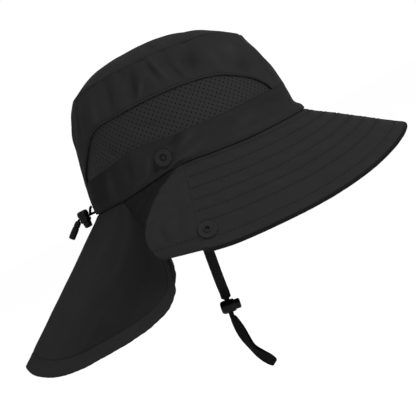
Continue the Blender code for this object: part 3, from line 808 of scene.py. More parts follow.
# Cloth made fine
def resample(rows, places, closed=False):
    """Rows on a smooth curve through the given ones, at places counted in rows."""
    last = len(rows) - 1
    low = np.clip(np.floor(places).astype(int), 0, last - 1)
    s = (places - low).reshape(-1, *([1] * (rows.ndim - 1)))
    start, end = rows[low], rows[low + 1]
    if closed:
        before, after = rows[(low - 1) % last], rows[(low + 2) % last]
    else:
        before = np.where((low == 0).reshape(s.shape), 2 * start - end, rows[np.maximum(low - 1, 0)])
        after = np.where((low == last - 1).reshape(s.shape), 2 * end - start, rows[np.minimum(low + 2, last)])
    rise, fall = (end - before) / 2, (after - start) / 2
    return curve(start, end, rise, fall, s)


def unit(vectors):
    return vectors / np.maximum(np.linalg.norm(vectors, axis=-1, keepdims=True), 1e-12)


def running(grid, axis):
    """Distances in millimetres along the grid's lines."""
    step = np.linalg.norm(np.diff(grid, axis=axis), axis=-1)
    start = np.zeros_like(np.take(step, [0], axis=axis))
    return np.concatenate([start, np.cumsum(step, axis=axis)], axis=axis) * 1000


def close_rows(length, low=(), high=(), between=1.6):
    """Shares up a strip of cloth: given places near its two edges, even ones between.

    Lengths are in millimetres. Up to 8, between is the widest spacing, and above that a number of steps.
    """
    low, high = list(low) or [0.0], list(high) or [0.0]
    middle = length - low[-1] - high[-1]
    count = max(int(round(between)), 1) if between > 8 else max(int(math.ceil(middle / between)), 1)
    inner = [low[-1] + middle * k / count for k in range(1, count)]
    return np.array(low + inner + [length - place_at for place_at in reversed(high)]) / length


class Cloth:
    """A fine grid on a panel's surface, with its outward normals and places on the cloth."""

    def __init__(self, point, coarse, columns, shares, closed=False):
        wide, tall = coarse
        base = np.array([[tuple(point(c / wide, r / tall)) for r in range(tall + 1)]
                         for c in range(wide + 1)])
        across = np.linspace(0, 1, columns + 1) if isinstance(columns, int) else np.array(columns)
        self.across, self.closed = across, closed
        spread = resample(base, across * wide, closed)
        if shares.ndim == 1:
            shares = np.repeat(shares[None, :], len(across), axis=0)
        self.shares = shares
        self.points = np.array([resample(line, place_at * tall) for line, place_at in zip(spread, shares)])
        self.measure()
        self.wear_and_shade = np.zeros(self.up.shape)

    def measure(self):
        points = self.points
        if self.closed:
            around = np.concatenate([points[-2:-1], points, points[1:2]])
            sideways = np.gradient(around, axis=0)[1:-1]
        else:
            sideways = np.gradient(points, axis=0)
        rising = np.gradient(points, axis=1)
        self.normals = unit(np.cross(sideways, rising))
        along_mm = running(points, 0)
        self.along = along_mm - along_mm[len(along_mm) // 2]
        self.up = running(points, 1)
        self.tall = np.repeat(self.up[:, -1:], self.up.shape[1], axis=1)

    def shape(self, height):
        """Moves the cloth out along its normals by heights in millimetres."""
        self.wear_and_shade = np.clip(height * 0.5, 0, 1)
        self.points = self.points + self.normals * (height / 1000)[..., None]
        places = self.along, self.up, self.tall
        self.measure()
        self.along, self.up, self.tall = places
        return self

    def paint_shade(self, share):
        """Paints shade on the cloth by a share from 0 to 1, as a negative mark for its finish."""
        self.wear_and_shade = self.wear_and_shade * (1 - share) - share
        return self

    def line(self, share):
        """Points and normals along the cloth where its rows have this share, or one share for each column."""
        share = np.broadcast_to(share, len(self.across))
        points, normals = [], []
        for k, value in enumerate(share):
            low = int(np.clip(np.searchsorted(self.shares[k], value) - 1, 0, self.shares.shape[1] - 2))
            s = (value - self.shares[k, low]) / (self.shares[k, low + 1] - self.shares[k, low])
            points.append(self.points[k, low] * (1 - s) + self.points[k, low + 1] * s)
            normals.append(self.normals[k, low] * (1 - s) + self.normals[k, low + 1] * s)
        return np.array(points), unit(np.array(normals))

def mesh_object(name, points, faces, finish, cloth_places=None):
    mesh = bpy.data.meshes.new(name)
    mesh.from_pydata([tuple(p) for p in points], [], faces)
    if cloth_places is not None:
        marks = mesh.attributes.new("cloth", "FLOAT_VECTOR", "POINT")
        marks.data.foreach_set("vector", np.asarray(cloth_places, dtype=np.float32).ravel())
    mesh.shade_smooth()
    mesh.materials.append(finish)
    made = bpy.data.objects.new(name, mesh)
    bpy.context.scene.collection.objects.link(made)
    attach(made, "hat")
    return made


def face_outward(made):
    facing = bmesh.new()
    facing.from_mesh(made.data)
    bmesh.ops.recalc_face_normals(facing, faces=facing.faces)
    facing.to_mesh(made.data)
    facing.free()


def shell(name, cloth, thickness, finish, every=1, rounded=(), edge=0.12):
    """Closed cloth of a thickness in millimetres under the grid, rolled at its rounded borders.

    The borders are low, high, start and end. The inside keeps only every few of the grid's rows.
    """
    away = {"low": cloth.up, "high": cloth.tall - cloth.up,
            "start": cloth.along - cloth.along[0:1], "end": cloth.along[-1:] - cloth.along}
    half = np.full(cloth.up.shape, thickness / 2)
    for border in rounded:
        s = np.clip(away[border] / (thickness / 2), 0, 1)
        half = np.minimum(half, thickness / 2 * np.sqrt(np.maximum(1 - (1 - s) ** 2, 0)) + edge * (1 - s))
    middle = cloth.points - cloth.normals * (thickness / 2000)
    outer = middle + cloth.normals * (half / 1000)[..., None]
    inner = middle - cloth.normals * (half / 1000)[..., None]
    columns, rows = outer.shape[:2]
    kept = sorted(set(list(range(0, rows - 1, every)) + [rows - 1]))
    if every > 1:
        kept = sorted(set(kept + [0, 1, 2, rows - 3, rows - 2]))
    inner = inner[:, kept]
    count = columns * rows
    outside = np.arange(count).reshape(columns, rows)
    inside = count + np.arange(columns * len(kept)).reshape(columns, len(kept))
    if cloth.closed:
        outside[-1], inside[-1] = outside[0], inside[0]
    faces = []
    for c in range(columns - 1):
        for r in range(rows - 1):
            faces.append((outside[c, r], outside[c + 1, r], outside[c + 1, r + 1], outside[c, r + 1]))
        for k in range(len(kept) - 1):
            faces.append((inside[c, k], inside[c, k + 1], inside[c + 1, k + 1], inside[c + 1, k]))
        faces.append((outside[c, 0], inside[c, 0], inside[c + 1, 0], outside[c + 1, 0]))
        faces.append((outside[c, -1], outside[c + 1, -1], inside[c + 1, -1], inside[c, -1]))
    if not cloth.closed:
        for c, turned_round in ((0, False), (columns - 1, True)):
            for k in range(len(kept) - 1):
                between = [outside[c, r] for r in range(kept[k], kept[k + 1] + 1)]
                ring = [inside[c, k]] + between + [inside[c, k + 1]]
                faces.append(ring[::-1] if turned_round else ring)
    marks = np.stack([cloth.along, cloth.up, cloth.wear_and_shade], axis=-1)
    points = np.concatenate([outer.reshape(-1, 3), inner.reshape(-1, 3)])
    marks = np.concatenate([marks.reshape(-1, 3), marks[:, kept].reshape(-1, 3)])
    made = mesh_object(name, points, [[int(k) for k in face] for face in faces], finish, marks)
    tidy = bmesh.new()
    tidy.from_mesh(made.data)
    loose = [vertex for vertex in tidy.verts if not vertex.link_faces]
    bmesh.ops.delete(tidy, geom=loose, context="VERTS")
    bmesh.ops.remove_doubles(tidy, verts=tidy.verts, dist=0.000008)
    tidy.to_mesh(made.data)
    tidy.free()
    made.data.set_sharp_from_angle(angle=math.radians(60))
    return made


def ripple(x, y, seed, height, shortest, longest, count=12):
    """Soft unevenness of cloth: waves of random directions, by places in millimetres."""
    random = np.random.default_rng(seed)
    total = 0
    for wave in range(count):
        way, start = random.uniform(0, math.tau, 2)
        length = random.uniform(shortest, longest)
        total = total + np.sin((x * math.cos(way) + y * math.sin(way)) * math.tau / length + start)
    return height * total / math.sqrt(count)


def folds(table, x, y):
    """Soft folds by middle, half length, half width, direction in degrees and height, in millimetres."""
    total = 0
    for middle_x, middle_y, length, width, way, height in table:
        turned_x, turned_y = math.cos(math.radians(way)), math.sin(math.radians(way))
        run = (x - middle_x) * turned_x + (y - middle_y) * turned_y
        aside = (y - middle_y) * turned_x - (x - middle_x) * turned_y
        total = total + height * np.exp(-(run / length) ** 2 - (aside / width) ** 2)
    return total


def valley(distance, width, depth):
    return -depth * np.exp(-(distance / width) ** 2)


def sewn_row(distance, run, stitch=3.6, depth=0.42, width=0.95, pucker=0.20):
    """Row of stitches pulled into the cloth: a valley with small puckers beside it."""
    pulled = 0.5 + 0.5 * np.cos(run * math.tau / stitch)
    beside = np.exp(-((np.abs(distance) - 1.3) / 1.2) ** 2)
    return valley(distance, width, depth) * (0.70 + 0.30 * pulled) + pucker * (1 - 1.4 * pulled) * beside


def read_at(at, run, values):
    """Vector on a line of vectors, at a distance run along it."""
    return np.array([np.interp(at, run, values[:, axis]) for axis in range(3)])


STITCH_STATIONS = (
    # share of the stitch, rise, size
    (0.0, -0.30, 0.10),
    (0.16, 0.10, 0.9),
    (0.5, 0.30, 1.0),
    (0.84, 0.10, 0.9),
    (1.0, -0.30, 0.10),
)


def stitch_rows(name, lines, finish, stitch=3.6, share=0.70, thread=0.34, sink=0.16):
    """Stitches along lines of points and normals: each a short thread with its ends in the cloth."""
    points, faces = [], []
    marks, sides = [], 6
    for line, normals in lines:
        step = np.linalg.norm(np.diff(line, axis=0), axis=1)
        run = np.concatenate([[0], np.cumsum(step)]) * 1000
        count = max(int(run[-1] / stitch), 1)
        pitch = run[-1] / count
        for k in range(count):
            start = pitch * (k + (1 - share) / 2)
            ring_points = []
            for place_at, rise, size in STITCH_STATIONS:
                at = start + pitch * share * place_at
                centre = read_at(at, run, line)
                ahead = unit(read_at(at + 0.3, run, line) - read_at(at - 0.3, run, line))
                normal = unit(read_at(at, run, normals))
                side = np.cross(ahead, normal)
                centre = centre + normal * ((rise * thread + sink) / 1000)
                ring_points.append([centre + (side * math.cos(a) + normal * math.sin(a))
                                    * (thread / 2000 * size)
                                    for a in np.arange(sides) * math.tau / sides])
            first = len(points)
            for station, ring in enumerate(ring_points):
                points.extend(ring)
                marks.extend([(start + station * 0.4, a * 0.2, 0) for a in range(sides)])
            for station in range(len(STITCH_STATIONS) - 1):
                for a in range(sides):
                    b = (a + 1) % sides
                    low = first + station * sides
                    faces.append((low + a, low + b, low + sides + b, low + sides + a))
            faces.append([first + a for a in reversed(range(sides))])
            faces.append([first + (len(STITCH_STATIONS) - 1) * sides + a for a in range(sides)])
    return mesh_object(name, points, faces, finish, marks)


# Lace, braid and turned pieces
def ribbon(name, route, finish, columns, thickness, ends):
    """Flat woven lace along a route: ribbed face, selvedges and a rounded sewn end."""
    across = [-0.5, -0.485, -0.45, -0.40, -0.34, -0.24, -0.12, 0, 0.12, 0.24, 0.34, 0.40, 0.45, 0.485, 0.5]
    rings, marks = [], []
    run, last = 0.0, None
    for k in range(columns + 1):
        share = k / columns
        middle = np.array(strap_point(route, share, 0))
        if last is not None:
            run += np.linalg.norm(middle - last) * 1000
        last = middle
        edge_to_edge = np.array(strap_point(route, share, 0.5)) - np.array(strap_point(route, share, -0.5))
        width = np.linalg.norm(edge_to_edge) * 1000
        if middle[2] > CHIN_PLACE.z:
            opened = min(max((np.linalg.norm(middle - np.array(CHIN_PLACE)) * 1000 - 6.3) / 2.2, 0), 1)
            opened = opened * opened * (3 - 2 * opened)
            width = max(width, (STRAP_GATHERED + (STRAP_WIDTH - STRAP_GATHERED) * opened) * 1000)
        close = min(k, columns - k) / columns * ends
        rounding = math.sqrt(max(1 - (1 - min(close, 1)) ** 2, 0.02)) if k > columns / 2 else 1.0
        ring = []
        side = unit(edge_to_edge)
        before, after = (strap_point(route, min(max(share + way, 0), 1), 0) for way in (-0.004, 0.004))
        ahead = unit(np.array(after) - np.array(before))
        normal = np.cross(side, ahead)
        for face in (1, -1):
            for a in (across if face == 1 else across[::-1]):
                away = (0.5 - abs(a)) * STRAP_WIDTH * 1000
                half = thickness / 2 * math.sqrt(max(1 - (1 - min(away / (thickness * 0.45), 1)) ** 2, 0.01))
                rib = 0.05 * math.cos(run * math.tau / 1.3) * (1 if abs(a) < 0.40 else 0.3)
                rib -= 0.10 * math.exp(-((abs(a) - 0.38) / 0.035) ** 2)
                centre = middle + side * (a * width / 1000 * (0.6 + 0.4 * rounding))
                ring.append(centre + normal * face * ((half + rib - 0.06) / 1000) * rounding)
                marks.append((run, a * 9.0 + (0 if face == 1 else 20), 0.35 if abs(a) > 0.42 else 0.0))
        rings.append(ring)
    size = len(across) * 2
    faces = []
    for k in range(columns):
        for a in range(size):
            b = (a + 1) % size
            faces.append((k * size + a, k * size + b, (k + 1) * size + b, (k + 1) * size + a))
    faces.append(list(reversed(range(size))))
    faces.append([columns * size + a for a in range(size)])
    made = mesh_object(name, [p for ring in rings for p in ring], faces, finish, marks)
    face_outward(made)
    made.data.set_sharp_from_angle(angle=math.radians(70))
    return made


def braid(name, route, diameter, finish, steps=70, sides=16):
    """Round braided cord along a route: a tube with the slanting swell of its strands."""
    points, marks, run, last = [], [], 0.0, None
    for k in range(steps + 1):
        position, heading = along(route, k / steps)
        heading.normalize()
        side = heading.cross(Vector((0.31, 0.2, 0.93))).normalized()
        up = heading.cross(side)
        if last is not None:
            run += (position - last).length * 1000
        last = position
        for a in range(sides):
            turn = a * math.tau / sides
            swell = 1 - 0.05 + 0.05 * math.cos(4 * turn + run * 2.4) * math.cos(4 * turn - run * 2.4)
            points.append(position + (side * math.cos(turn) + up * math.sin(turn)) * (diameter / 2 * swell))
            marks.append((run, a * diameter * 1000 * math.pi / sides, 0))
    faces = [(k * sides + a, k * sides + (a + 1) % sides, (k + 1) * sides + (a + 1) % sides,
              (k + 1) * sides + a)
             for k in range(steps) for a in range(sides)]
    faces.append(list(reversed(range(sides))))
    faces.append([steps * sides + a for a in range(sides)])
    return mesh_object(name, points, faces, finish, marks)


def turned_piece(name, profile, steps, place, finish, body="hat", swell=None):
    """Turned piece of radius and height pairs in millimetres, from the top's middle to the base's."""
    points, faces, rings = [], [], []
    for radius, height in profile:
        if radius == 0:
            rings.append([len(points)])
            points.append(Vector((0, 0, height)))
        else:
            rings.append(list(range(len(points), len(points) + steps)))
            for a in range(steps):
                angle = a * math.tau / steps
                size = radius * (swell(angle, height) if swell else 1)
                points.append(Vector((size * math.cos(angle), size * math.sin(angle), height)))
    for upper, lower in zip(rings, rings[1:]):
        for a in range(steps):
            b = (a + 1) % steps
            if len(upper) == 1:
                faces.append((upper[0], lower[a], lower[b]))
            elif len(lower) == 1:
                faces.append((upper[a], lower[0], upper[b]))
            else:
                faces.append((upper[a], lower[a], lower[b], upper[b]))
    placed = [place @ (point / 1000) for point in points]
    made = mesh_object(name, placed, faces, finish, [(0, 0, 0)] * len(points))
    face_outward(made)
    made.data.set_sharp_from_angle(angle=math.radians(35))
    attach(made, body)
    return made


# Chin straps, their lock, and the rear drawcord with its lock
# Power of the cup's base curve: smaller is squarer, with more wall round the bore
BASE_ROUNDING = 0.435


def lock_profile(radius, bore, top, floor, base):
    """Rounded barrel of a cord lock, from its floor's middle round the rim to the base, in millimetres."""
    profile = [(0, floor), (bore, floor), (bore, top - 0.4), (bore + 0.12, top - 0.1), (bore + 0.35, top)]
    waist = top - (top - base) * 0.45
    for k in range(1, 6):
        a = math.radians(90 - 18 * k)
        height = waist + (top - waist) * math.sin(a) ** 0.8 if k < 5 else waist
        profile.append((bore + 0.35 + (radius - bore - 0.35) * math.cos(a), height))
    for k in range(1, 13):
        a = math.radians(-7.5 * k)
        reach = radius * math.cos(a) ** BASE_ROUNDING if k < 12 else 0
        profile.append((reach, waist - (waist - base) * (-math.sin(a)) ** BASE_ROUNDING))
    return profile


def button_profile(radius, top, base, stem, stem_end):
    """Domed button on its stem, from its middle to the end of the stem, in millimetres."""
    profile = [(0, top - 0.10), (radius * 0.25, top - 0.06), (radius * 0.42, top)]
    for k in range(7):
        a = math.radians(90 - 15 * k)
        profile.append((radius * 0.58 + radius * 0.42 * math.cos(a), top - 1.7 + 1.7 * math.sin(a)))
    return profile + [(radius - 0.1, base + 0.2), (radius - 0.4, base), (stem, base), (stem, stem_end),
                      (0, stem_end)]


def slotted(piece, place, size):
    """Cuts the lace's slot through a lock piece."""
    cutter = bmesh.new()
    bmesh.ops.create_cube(cutter, size=1.0)
    bmesh.ops.scale(cutter, vec=size, verts=cutter.verts)
    bmesh.ops.transform(cutter, matrix=place, verts=cutter.verts)
    mesh = bpy.data.meshes.new("slot")
    cutter.to_mesh(mesh)
    cutter.free()
    tool = bpy.data.objects.new("slot", mesh)
    bpy.context.scene.collection.objects.link(tool)
    cut = piece.modifiers.new("slot", "BOOLEAN")
    cut.operation, cut.object, cut.solver = "DIFFERENCE", tool, "EXACT"
    finished = bpy.data.meshes.new_from_object(piece.evaluated_get(bpy.context.evaluated_depsgraph_get()))
    piece.modifiers.clear()
    piece.data = finished
    piece.data.set_sharp_from_angle(angle=math.radians(35))
    bpy.data.objects.remove(tool, do_unlink=True)


def cord_lock(name, place, diameter, length, button_diameter, button_length, spread, tall, body):
    """Cup and sprung button of a lock, slotted for what runs through them."""
    half = (tall / 2 + GAP) * 1000
    plunger_end = -half - LOCK_WALL * 1000
    floor = plunger_end - (LOCK_TRAVEL + GAP) * 1000
    base = floor - LOCK_WALL * 1000
    top = base + length * 1000
    button = top + (LOCK_TRAVEL + GAP) * 1000
    radius = diameter * 500
    stem = radius - (LOCK_WALL + GAP) * 1000
    profile = lock_profile(radius, radius - LOCK_WALL * 1000, top, floor, base)
    cup = turned_piece(name + "_cup", profile, 64, place, LOCK_FINISH)
    button_top = button + button_length * 1000

    def ribs(angle, height):
        return 1 + (0.012 * math.cos(12 * angle) if button + 0.3 < height < button_top - 0.8 else 0)

    profile = button_profile(button_diameter * 500, button_top, button, stem, plunger_end)
    plunger = turned_piece(name + "_button", profile, 48, place, LOCK_FINISH, body, ribs)
    wide, deep = spread + 2 * GAP, 2 * half / 1000
    slotted(cup, place, (diameter * 2, wide, deep))
    slotted(plunger, place @ Matrix.Translation((0, 0, LOCK_TRAVEL / 2)),
            (diameter * 2, wide, deep + LOCK_TRAVEL))
    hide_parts(name + "_body")
    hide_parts(name + "_plunger")
    return cup, plunger


chin_place = framed(CHIN_UP, CHIN_FRONT, CHIN_PLACE)
rear_place = framed(Vector((0, 1, 0)), Vector((0, 0, -1)), REAR_PLACE)
CHIN_LOCK = cord_lock("chin_lock", chin_place, CHIN_LOCK_DIAMETER, CHIN_LOCK_LENGTH,
                      CHIN_BUTTON_DIAMETER, CHIN_BUTTON_LENGTH, 2 * STRAP_THICKNESS + GAP, STRAP_GATHERED,
                      "chin_plunger")
cord_lock("rear_lock", rear_place, REAR_LOCK_DIAMETER, REAR_LOCK_LENGTH,
                      REAR_BUTTON_DIAMETER, REAR_BUTTON_LENGTH, 2 * CORD_DIAMETER + GAP, CORD_DIAMETER,
                      "rear_plunger")

for side_name, side_hand in (("right", -1), ("left", 1)):
    route = strap_route(side_hand)
    strap = ribbon("chin_lace_" + side_name, route, LACE_FINISH, 260, STRAP_THICKNESS * 1000, 55)
    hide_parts("chin_strap_" + side_name)
    tuple(strap_point(route, 0, 0))
    [tuple(strap_point(route, k / 160, 0)) for k in range(161)]

for side_name, side_hand, height_column in (("right", -1, 2), ("left", 1, 3)):
    drawn = braid("round_cord_" + side_name,
                  [Vector((side_hand * row[0], BAND_BACK + row[1], row[height_column]))
                   for row in CORD_ROUTE],
                  CORD_DIAMETER, CORD_FINISH)
    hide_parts("drawcord_" + side_name)

end_length, end_radius = CORD_END_LENGTH * 1000, CORD_END_DIAMETER * 500
cord_end_profile = [
    (0, 2.9), (end_radius - 1.5, 2.9), (end_radius - 0.9, 2.6), (end_radius - 0.4, 1.9),
    (end_radius - 0.15, 0.6), (end_radius - 0.1, -2.2), (end_radius - 0.45, -2.5),
    (end_radius - 0.45, -3.0), (end_radius - 0.05, -3.3), (end_radius, -6.5),
    (end_radius - 0.05, 1.6 - end_length), (end_radius - 0.35, 0.6 - end_length),
    (end_radius - 0.9, 0.15 - end_length), (end_radius - 1.6, -end_length), (0, -end_length),
]


def cord_end_swell(angle, height):
    """The end piece flattens towards its lower end."""
    return 1 - 0.05 * math.cos(2 * angle) * min(max(-height - 3, 0) / 4, 1) - 0.03


cord_end = turned_piece("cord_end_cap", cord_end_profile, 40,
                        framed(Vector((1, 0, 0)), CORD_END_AXIS, CORD_END_TOP), LOCK_FINISH,
                        swell=cord_end_swell)
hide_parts("cord_end")


# Crown
# Millimetres round the crown and round the tip's seam for each degree
AROUND_CROWN = 1.62
AROUND_TIP = 1.30
# Distances of the stitched rows from their seams, in millimetres
WALL_TOPSTITCH = 2.2
TIP_TOPSTITCH = 1.7
# Share of the stitched row's depth that is left between the vents, where the wall runs down behind the band
BETWEEN_VENTS = 0.35
BEHIND_BAND = 0.0014
CROWN_FOLDS = (
    # along the crown from its front, height, half length, half width, direction, rise, in millimetres
    (-115, 81, 9, 6.0, 62, -1.9), (-65, 56, 9, 4.0, 12, -1.5), (-149, 89, 10, 2.6, 100, -1.3),
    (-142, 84, 9, 2.4, 104, 1.1), (-130, 76, 10, 3.6, 112, -1.2), (-173, 83, 10, 4.0, 68, -1.3),
    (-180, 94, 7, 5.0, 10, -0.8), (-165, 78, 9, 2.6, 58, 0.9), (-73, 73, 9, 8.0, 18, 1.1),
    (-39, 46, 14, 4.0, 92, -0.8), (-199, 84, 10, 5.0, 80, -0.9), (-218, 74, 12, 5.0, 86, 0.7),
    (-94, 71, 10, 5.0, 102, 0.7), (-250, 80, 12, 5.0, 95, -0.8), (-280, 70, 14, 6.0, 84, 0.6),
    (-12, 62, 12, 5.0, 96, -0.7), (24, 70, 11, 4.0, 84, -0.9), (58, 66, 10, 5.0, 60, -1.2),
    (84, 80, 9, 5.0, 110, 0.9), (108, 78, 10, 4.0, 74, -1.3), (140, 86, 9, 3.0, 98, -1.2),
    (150, 80, 9, 3.0, 100, 0.9), (176, 84, 10, 4.0, 112, -1.2), (204, 78, 11, 4.0, 86, 0.8),
    (232, 82, 11, 4.5, 80, -0.9), (266, 74, 13, 5.0, 96, -0.7),
)


def crown_gathers(along_crown, from_seam, seed):
    """Small gathers that fade away from the tip seam."""
    wave = ripple(along_crown, along_crown * 0.0, seed, 0.34, 9.0, 22.0, 10)
    return wave * np.exp(-np.maximum(from_seam, 0) / 9.0)


def in_vent(angle):
    """1 along a vent's arch and 0 where the wall meets the band."""
    side = turned(angle)
    return min(max((side - ARCH_ROWS[0][0]) / 5, 0), 1) * min(max((ARCH_ROWS[-1][0] - side) / 5, 0), 1)


def wall_point(column, row):
    """The wall's surface, run up to the tip seam and, between the vents, down behind the band."""
    angle = column * 360 - 180
    return crown_point(angle, steps_between(arch_height(angle) + GAP - BEHIND_BAND * (1 - in_vent(angle)),
                                            seam_height(angle) + GAP, row))


columns_wide = 560
side_shares = []
for k in range(columns_wide + 1):
    angle = k / columns_wide * 360 - 180
    length = (seam_height(angle) - arch_height(angle)) * 1000
    side_shares.append(close_rows(length, (0, 0.15, 0.5, 1.0, 1.5, 1.85, 2.2, 2.6, 3.2, 4.2, 5.6),
                                  (0, 0.2, 0.6, 1.1, 1.8, 2.8, 4.2), 26.0))
crown_side = Cloth(wall_point, (144, 14), columns_wide, np.array(side_shares), closed=True)
side_angles = crown_side.across * 360 - 180
side_run = np.repeat((side_angles * AROUND_CROWN)[:, None], crown_side.up.shape[1], axis=1)
side_height = crown_side.points[..., 2] * 1000
from_seam = crown_side.tall - crown_side.up
vent = np.array([BETWEEN_VENTS + (1 - BETWEEN_VENTS) * in_vent(a) for a in side_angles])[:, None]
crown_side.shape(
    2.3 * folds(CROWN_FOLDS, side_run, side_height) * np.clip(crown_side.up / 5, 0, 1)
    + crown_gathers(side_run, from_seam, 5)
    - 0.7 * np.clip(1 - crown_side.up / 1.6, 0, 1) * (1 - vent) / (1 - BETWEEN_VENTS)
    + ripple(side_run, side_height, 11, 0.22, 14, 46)
    + sewn_row(crown_side.up - WALL_TOPSTITCH, side_run, depth=0.30, pucker=0.20) * vent
    + 0.30 * np.exp(-((crown_side.up - 0.8) / 0.9) ** 2)
    + valley(from_seam, 0.9, 0.30))
side_piece = shell("crown_wall", crown_side, CROWN_CLOTH * 1000, CROWN_CLOTH_FINISH, every=3,
                   rounded=("low",))
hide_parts("crown_side")
topstitch = [WALL_TOPSTITCH / max(t, 1) for t in crown_side.tall[:, 0]]
side_stitches = stitch_rows("crown_wall_stitches", [crown_side.line(np.array(topstitch))], THREAD_FINISH)

tip_rows = close_rows(72.0, (0, 0.2, 0.5, 0.9, 1.3, 1.6, 1.9, 2.3, 2.8, 3.6, 4.8, 6.4), (0,), 2.6)
crown_tip = Cloth(lambda c, r: tip_point(c * 360 - 180, 1 - r), (72, 14), 420, tip_rows, closed=True)
crown_tip.normals[:, -1] = unit(crown_tip.normals[:-1, -2].mean(axis=0))
tip_angles = crown_tip.across * 360 - 180
tip_run = np.repeat((tip_angles * AROUND_TIP)[:, None], crown_tip.up.shape[1], axis=1)
flat_x, flat_y = crown_tip.points[..., 0] * 1000, crown_tip.points[..., 1] * 1000
TIP_FOLDS = (
    # across, back, half length, half width, direction, rise, in millimetres
    (-44, -6, 10, 3.0, 8, -0.9), (-50, 3, 9, 3.0, -14, 0.8), (-36, -26, 18, 4.0, -34, 0.8),
    (-24, -34, 20, 4.0, -40, -0.7), (-30, 20, 16, 6.0, 30, -0.6), (10, -40, 16, 6.0, 10, -0.5),
    (36, 0, 16, 5.0, -20, -0.8), (20, 40, 18, 6.0, 40, 0.6),
)
tip_fade = np.clip(crown_tip.up / 3, 0, 1) * np.clip((crown_tip.tall - crown_tip.up) / 12, 0, 1)
crown_tip.shape(
    1.4 * folds(TIP_FOLDS, flat_x, flat_y) * np.clip(crown_tip.up / 3, 0, 1)
    + ripple(flat_x, flat_y, 21, 0.30, 18, 60) * tip_fade
    + crown_gathers(tip_run, crown_tip.up, 9) * 0.6
    + sewn_row(crown_tip.up - TIP_TOPSTITCH, tip_run, depth=0.34, pucker=0.16) * (crown_tip.up < 8)
    + 0.25 * np.exp(-((crown_tip.up - 0.8) / 0.8) ** 2)
    + valley(crown_tip.up, 0.6, 0.22))
tip_piece = shell("crown_top", crown_tip, CROWN_CLOTH * 1000, CROWN_CLOTH_FINISH, every=3)
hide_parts("crown_tip")
tip_stitches = stitch_rows("crown_top_stitches", [crown_tip.line(TIP_TOPSTITCH / crown_tip.tall[:, 0])],
                           THREAD_FINISH)

# Band
BAND_FOLDS = (
    # along the band from its front, height, half length, half width, direction, rise, in millimetres
    (-158, 25.5, 9, 2.4, 24, -0.9), (-150, 21, 10, 3.0, 30, 0.7), (-181, 11.5, 8, 2.4, 40, -0.9),
    (-186, 16, 8, 3.0, 60, 0.5), (-164, 7.2, 6, 1.4, 12, -0.8), (-160, 9.4, 7, 1.6, 14, 0.6),
    (-172, 6.0, 6, 1.5, 20, 0.5), (-140, 13, 16, 4.0, 12, 0.6), (-120, 16, 20, 4.5, 8, -0.6),
    (-96, 15, 20, 5.0, 4, 0.5), (-62, 17, 24, 5.0, 2, -0.5), (-205, 20, 12, 4.0, 70, -0.6),
    (-228, 15, 14, 5.0, 80, 0.5), (158, 25.5, 9, 2.4, -24, -0.9), (150, 21, 10, 3.0, -30, 0.7),
    (181, 11.5, 8, 2.4, -40, -0.9), (164, 7.2, 6, 1.4, -12, -0.8), (120, 16, 20, 4.5, -8, -0.6),
    (96, 15, 20, 5.0, -4, 0.5), (62, 17, 24, 5.0, -2, -0.5), (228, 15, 14, 5.0, 80, 0.5),
)
band = Cloth(lambda c, r: band_point(c, r * 1.012), (144, 6), 520,
             close_rows(29.0, (0, 0.2, 0.5, 0.9, 1.4, 2.0, 2.8, 4.0), (0, 0.2, 0.6, 1.1, 1.6, 2.2, 3.0),
                        1.6), closed=True)
band_angles = band.across * 360 - 180
band_run = np.repeat((band_angles * AROUND_CROWN)[:, None], band.up.shape[1], axis=1)
band_height = band.points[..., 2] * 1000
snap_run, snap_height = BAND_SNAP_ANGLE * AROUND_CROWN, BAND_SNAP_HEIGHT * 1000
from_snap = np.hypot(np.abs(band_run) - snap_run, band_height - snap_height)
band_edges = np.clip(band.up / 2.5, 0, 1) * np.clip((band.tall - band.up) / 2.5, 0, 1)
band.shape(
    3.2 * folds(BAND_FOLDS, band_run, band_height) * np.clip((from_snap - 7.6) / 2.6, 0, 1) * band_edges
    - 0.8 * np.exp(-(from_snap / 9.5) ** 4) * band_edges * 0.4
    + ripple(band_run, band_height * 0.5, 31, 0.22, 16, 60) * band_edges
    + 0.75 * np.exp(-((band.up - 4.0) / 3.4) ** 2)
    + valley(band.tall - band.up, 0.9, 0.30)
    + 0.22 * np.exp(-((band.tall - band.up - 1.6) / 1.0) ** 2))
# Painted shade: the band darker towards the back.
band.paint_shade(0.42 * np.clip((np.abs(band_run) - 190) / 55, 0, 1))
band_piece = shell("band_cloth", band, BAND_CLOTH * 1000, BAND_CLOTH_FINISH, every=3, rounded=("low", "high"))
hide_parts("crown_band")


# Strip of turned-in seam edges inside the band: its thickness in millimetres, the rest in metres
TURNING_DROP = 0.0028
TURNING_HEIGHT = 0.0085
TURNING_INSET = 0.0012
TURNING_LEAN = 0.0010
TURNING_THICKNESS = 0.9


def turning_point(column, row):
    """Turned-in seam edges of the brim and cape, from under the seam up the inside of the band."""
    angle = column * 360 - 180
    height = band_bottom(angle) - TURNING_DROP + TURNING_HEIGHT * row
    inset = TURNING_INSET + TURNING_LEAN * min(max((row - 0.18) / 0.3, 0), 1)
    low = crown_point(angle, max(height, 0.0), inset)
    low.z = height
    return low


turning = Cloth(turning_point, (144, 8), 360, close_rows(TURNING_HEIGHT * 1000, (0, 0.5), (0, 0.5), 1.2),
                closed=True)
turning_piece = shell("seam_turning", turning, TURNING_THICKNESS, BAND_CLOTH_FINISH, every=1)
band_stitches = stitch_rows("band_stitches", [band.line(1 - 1.0 / band.tall[:, 0])], THREAD_FINISH,
                            stitch=3.0, thread=0.26)


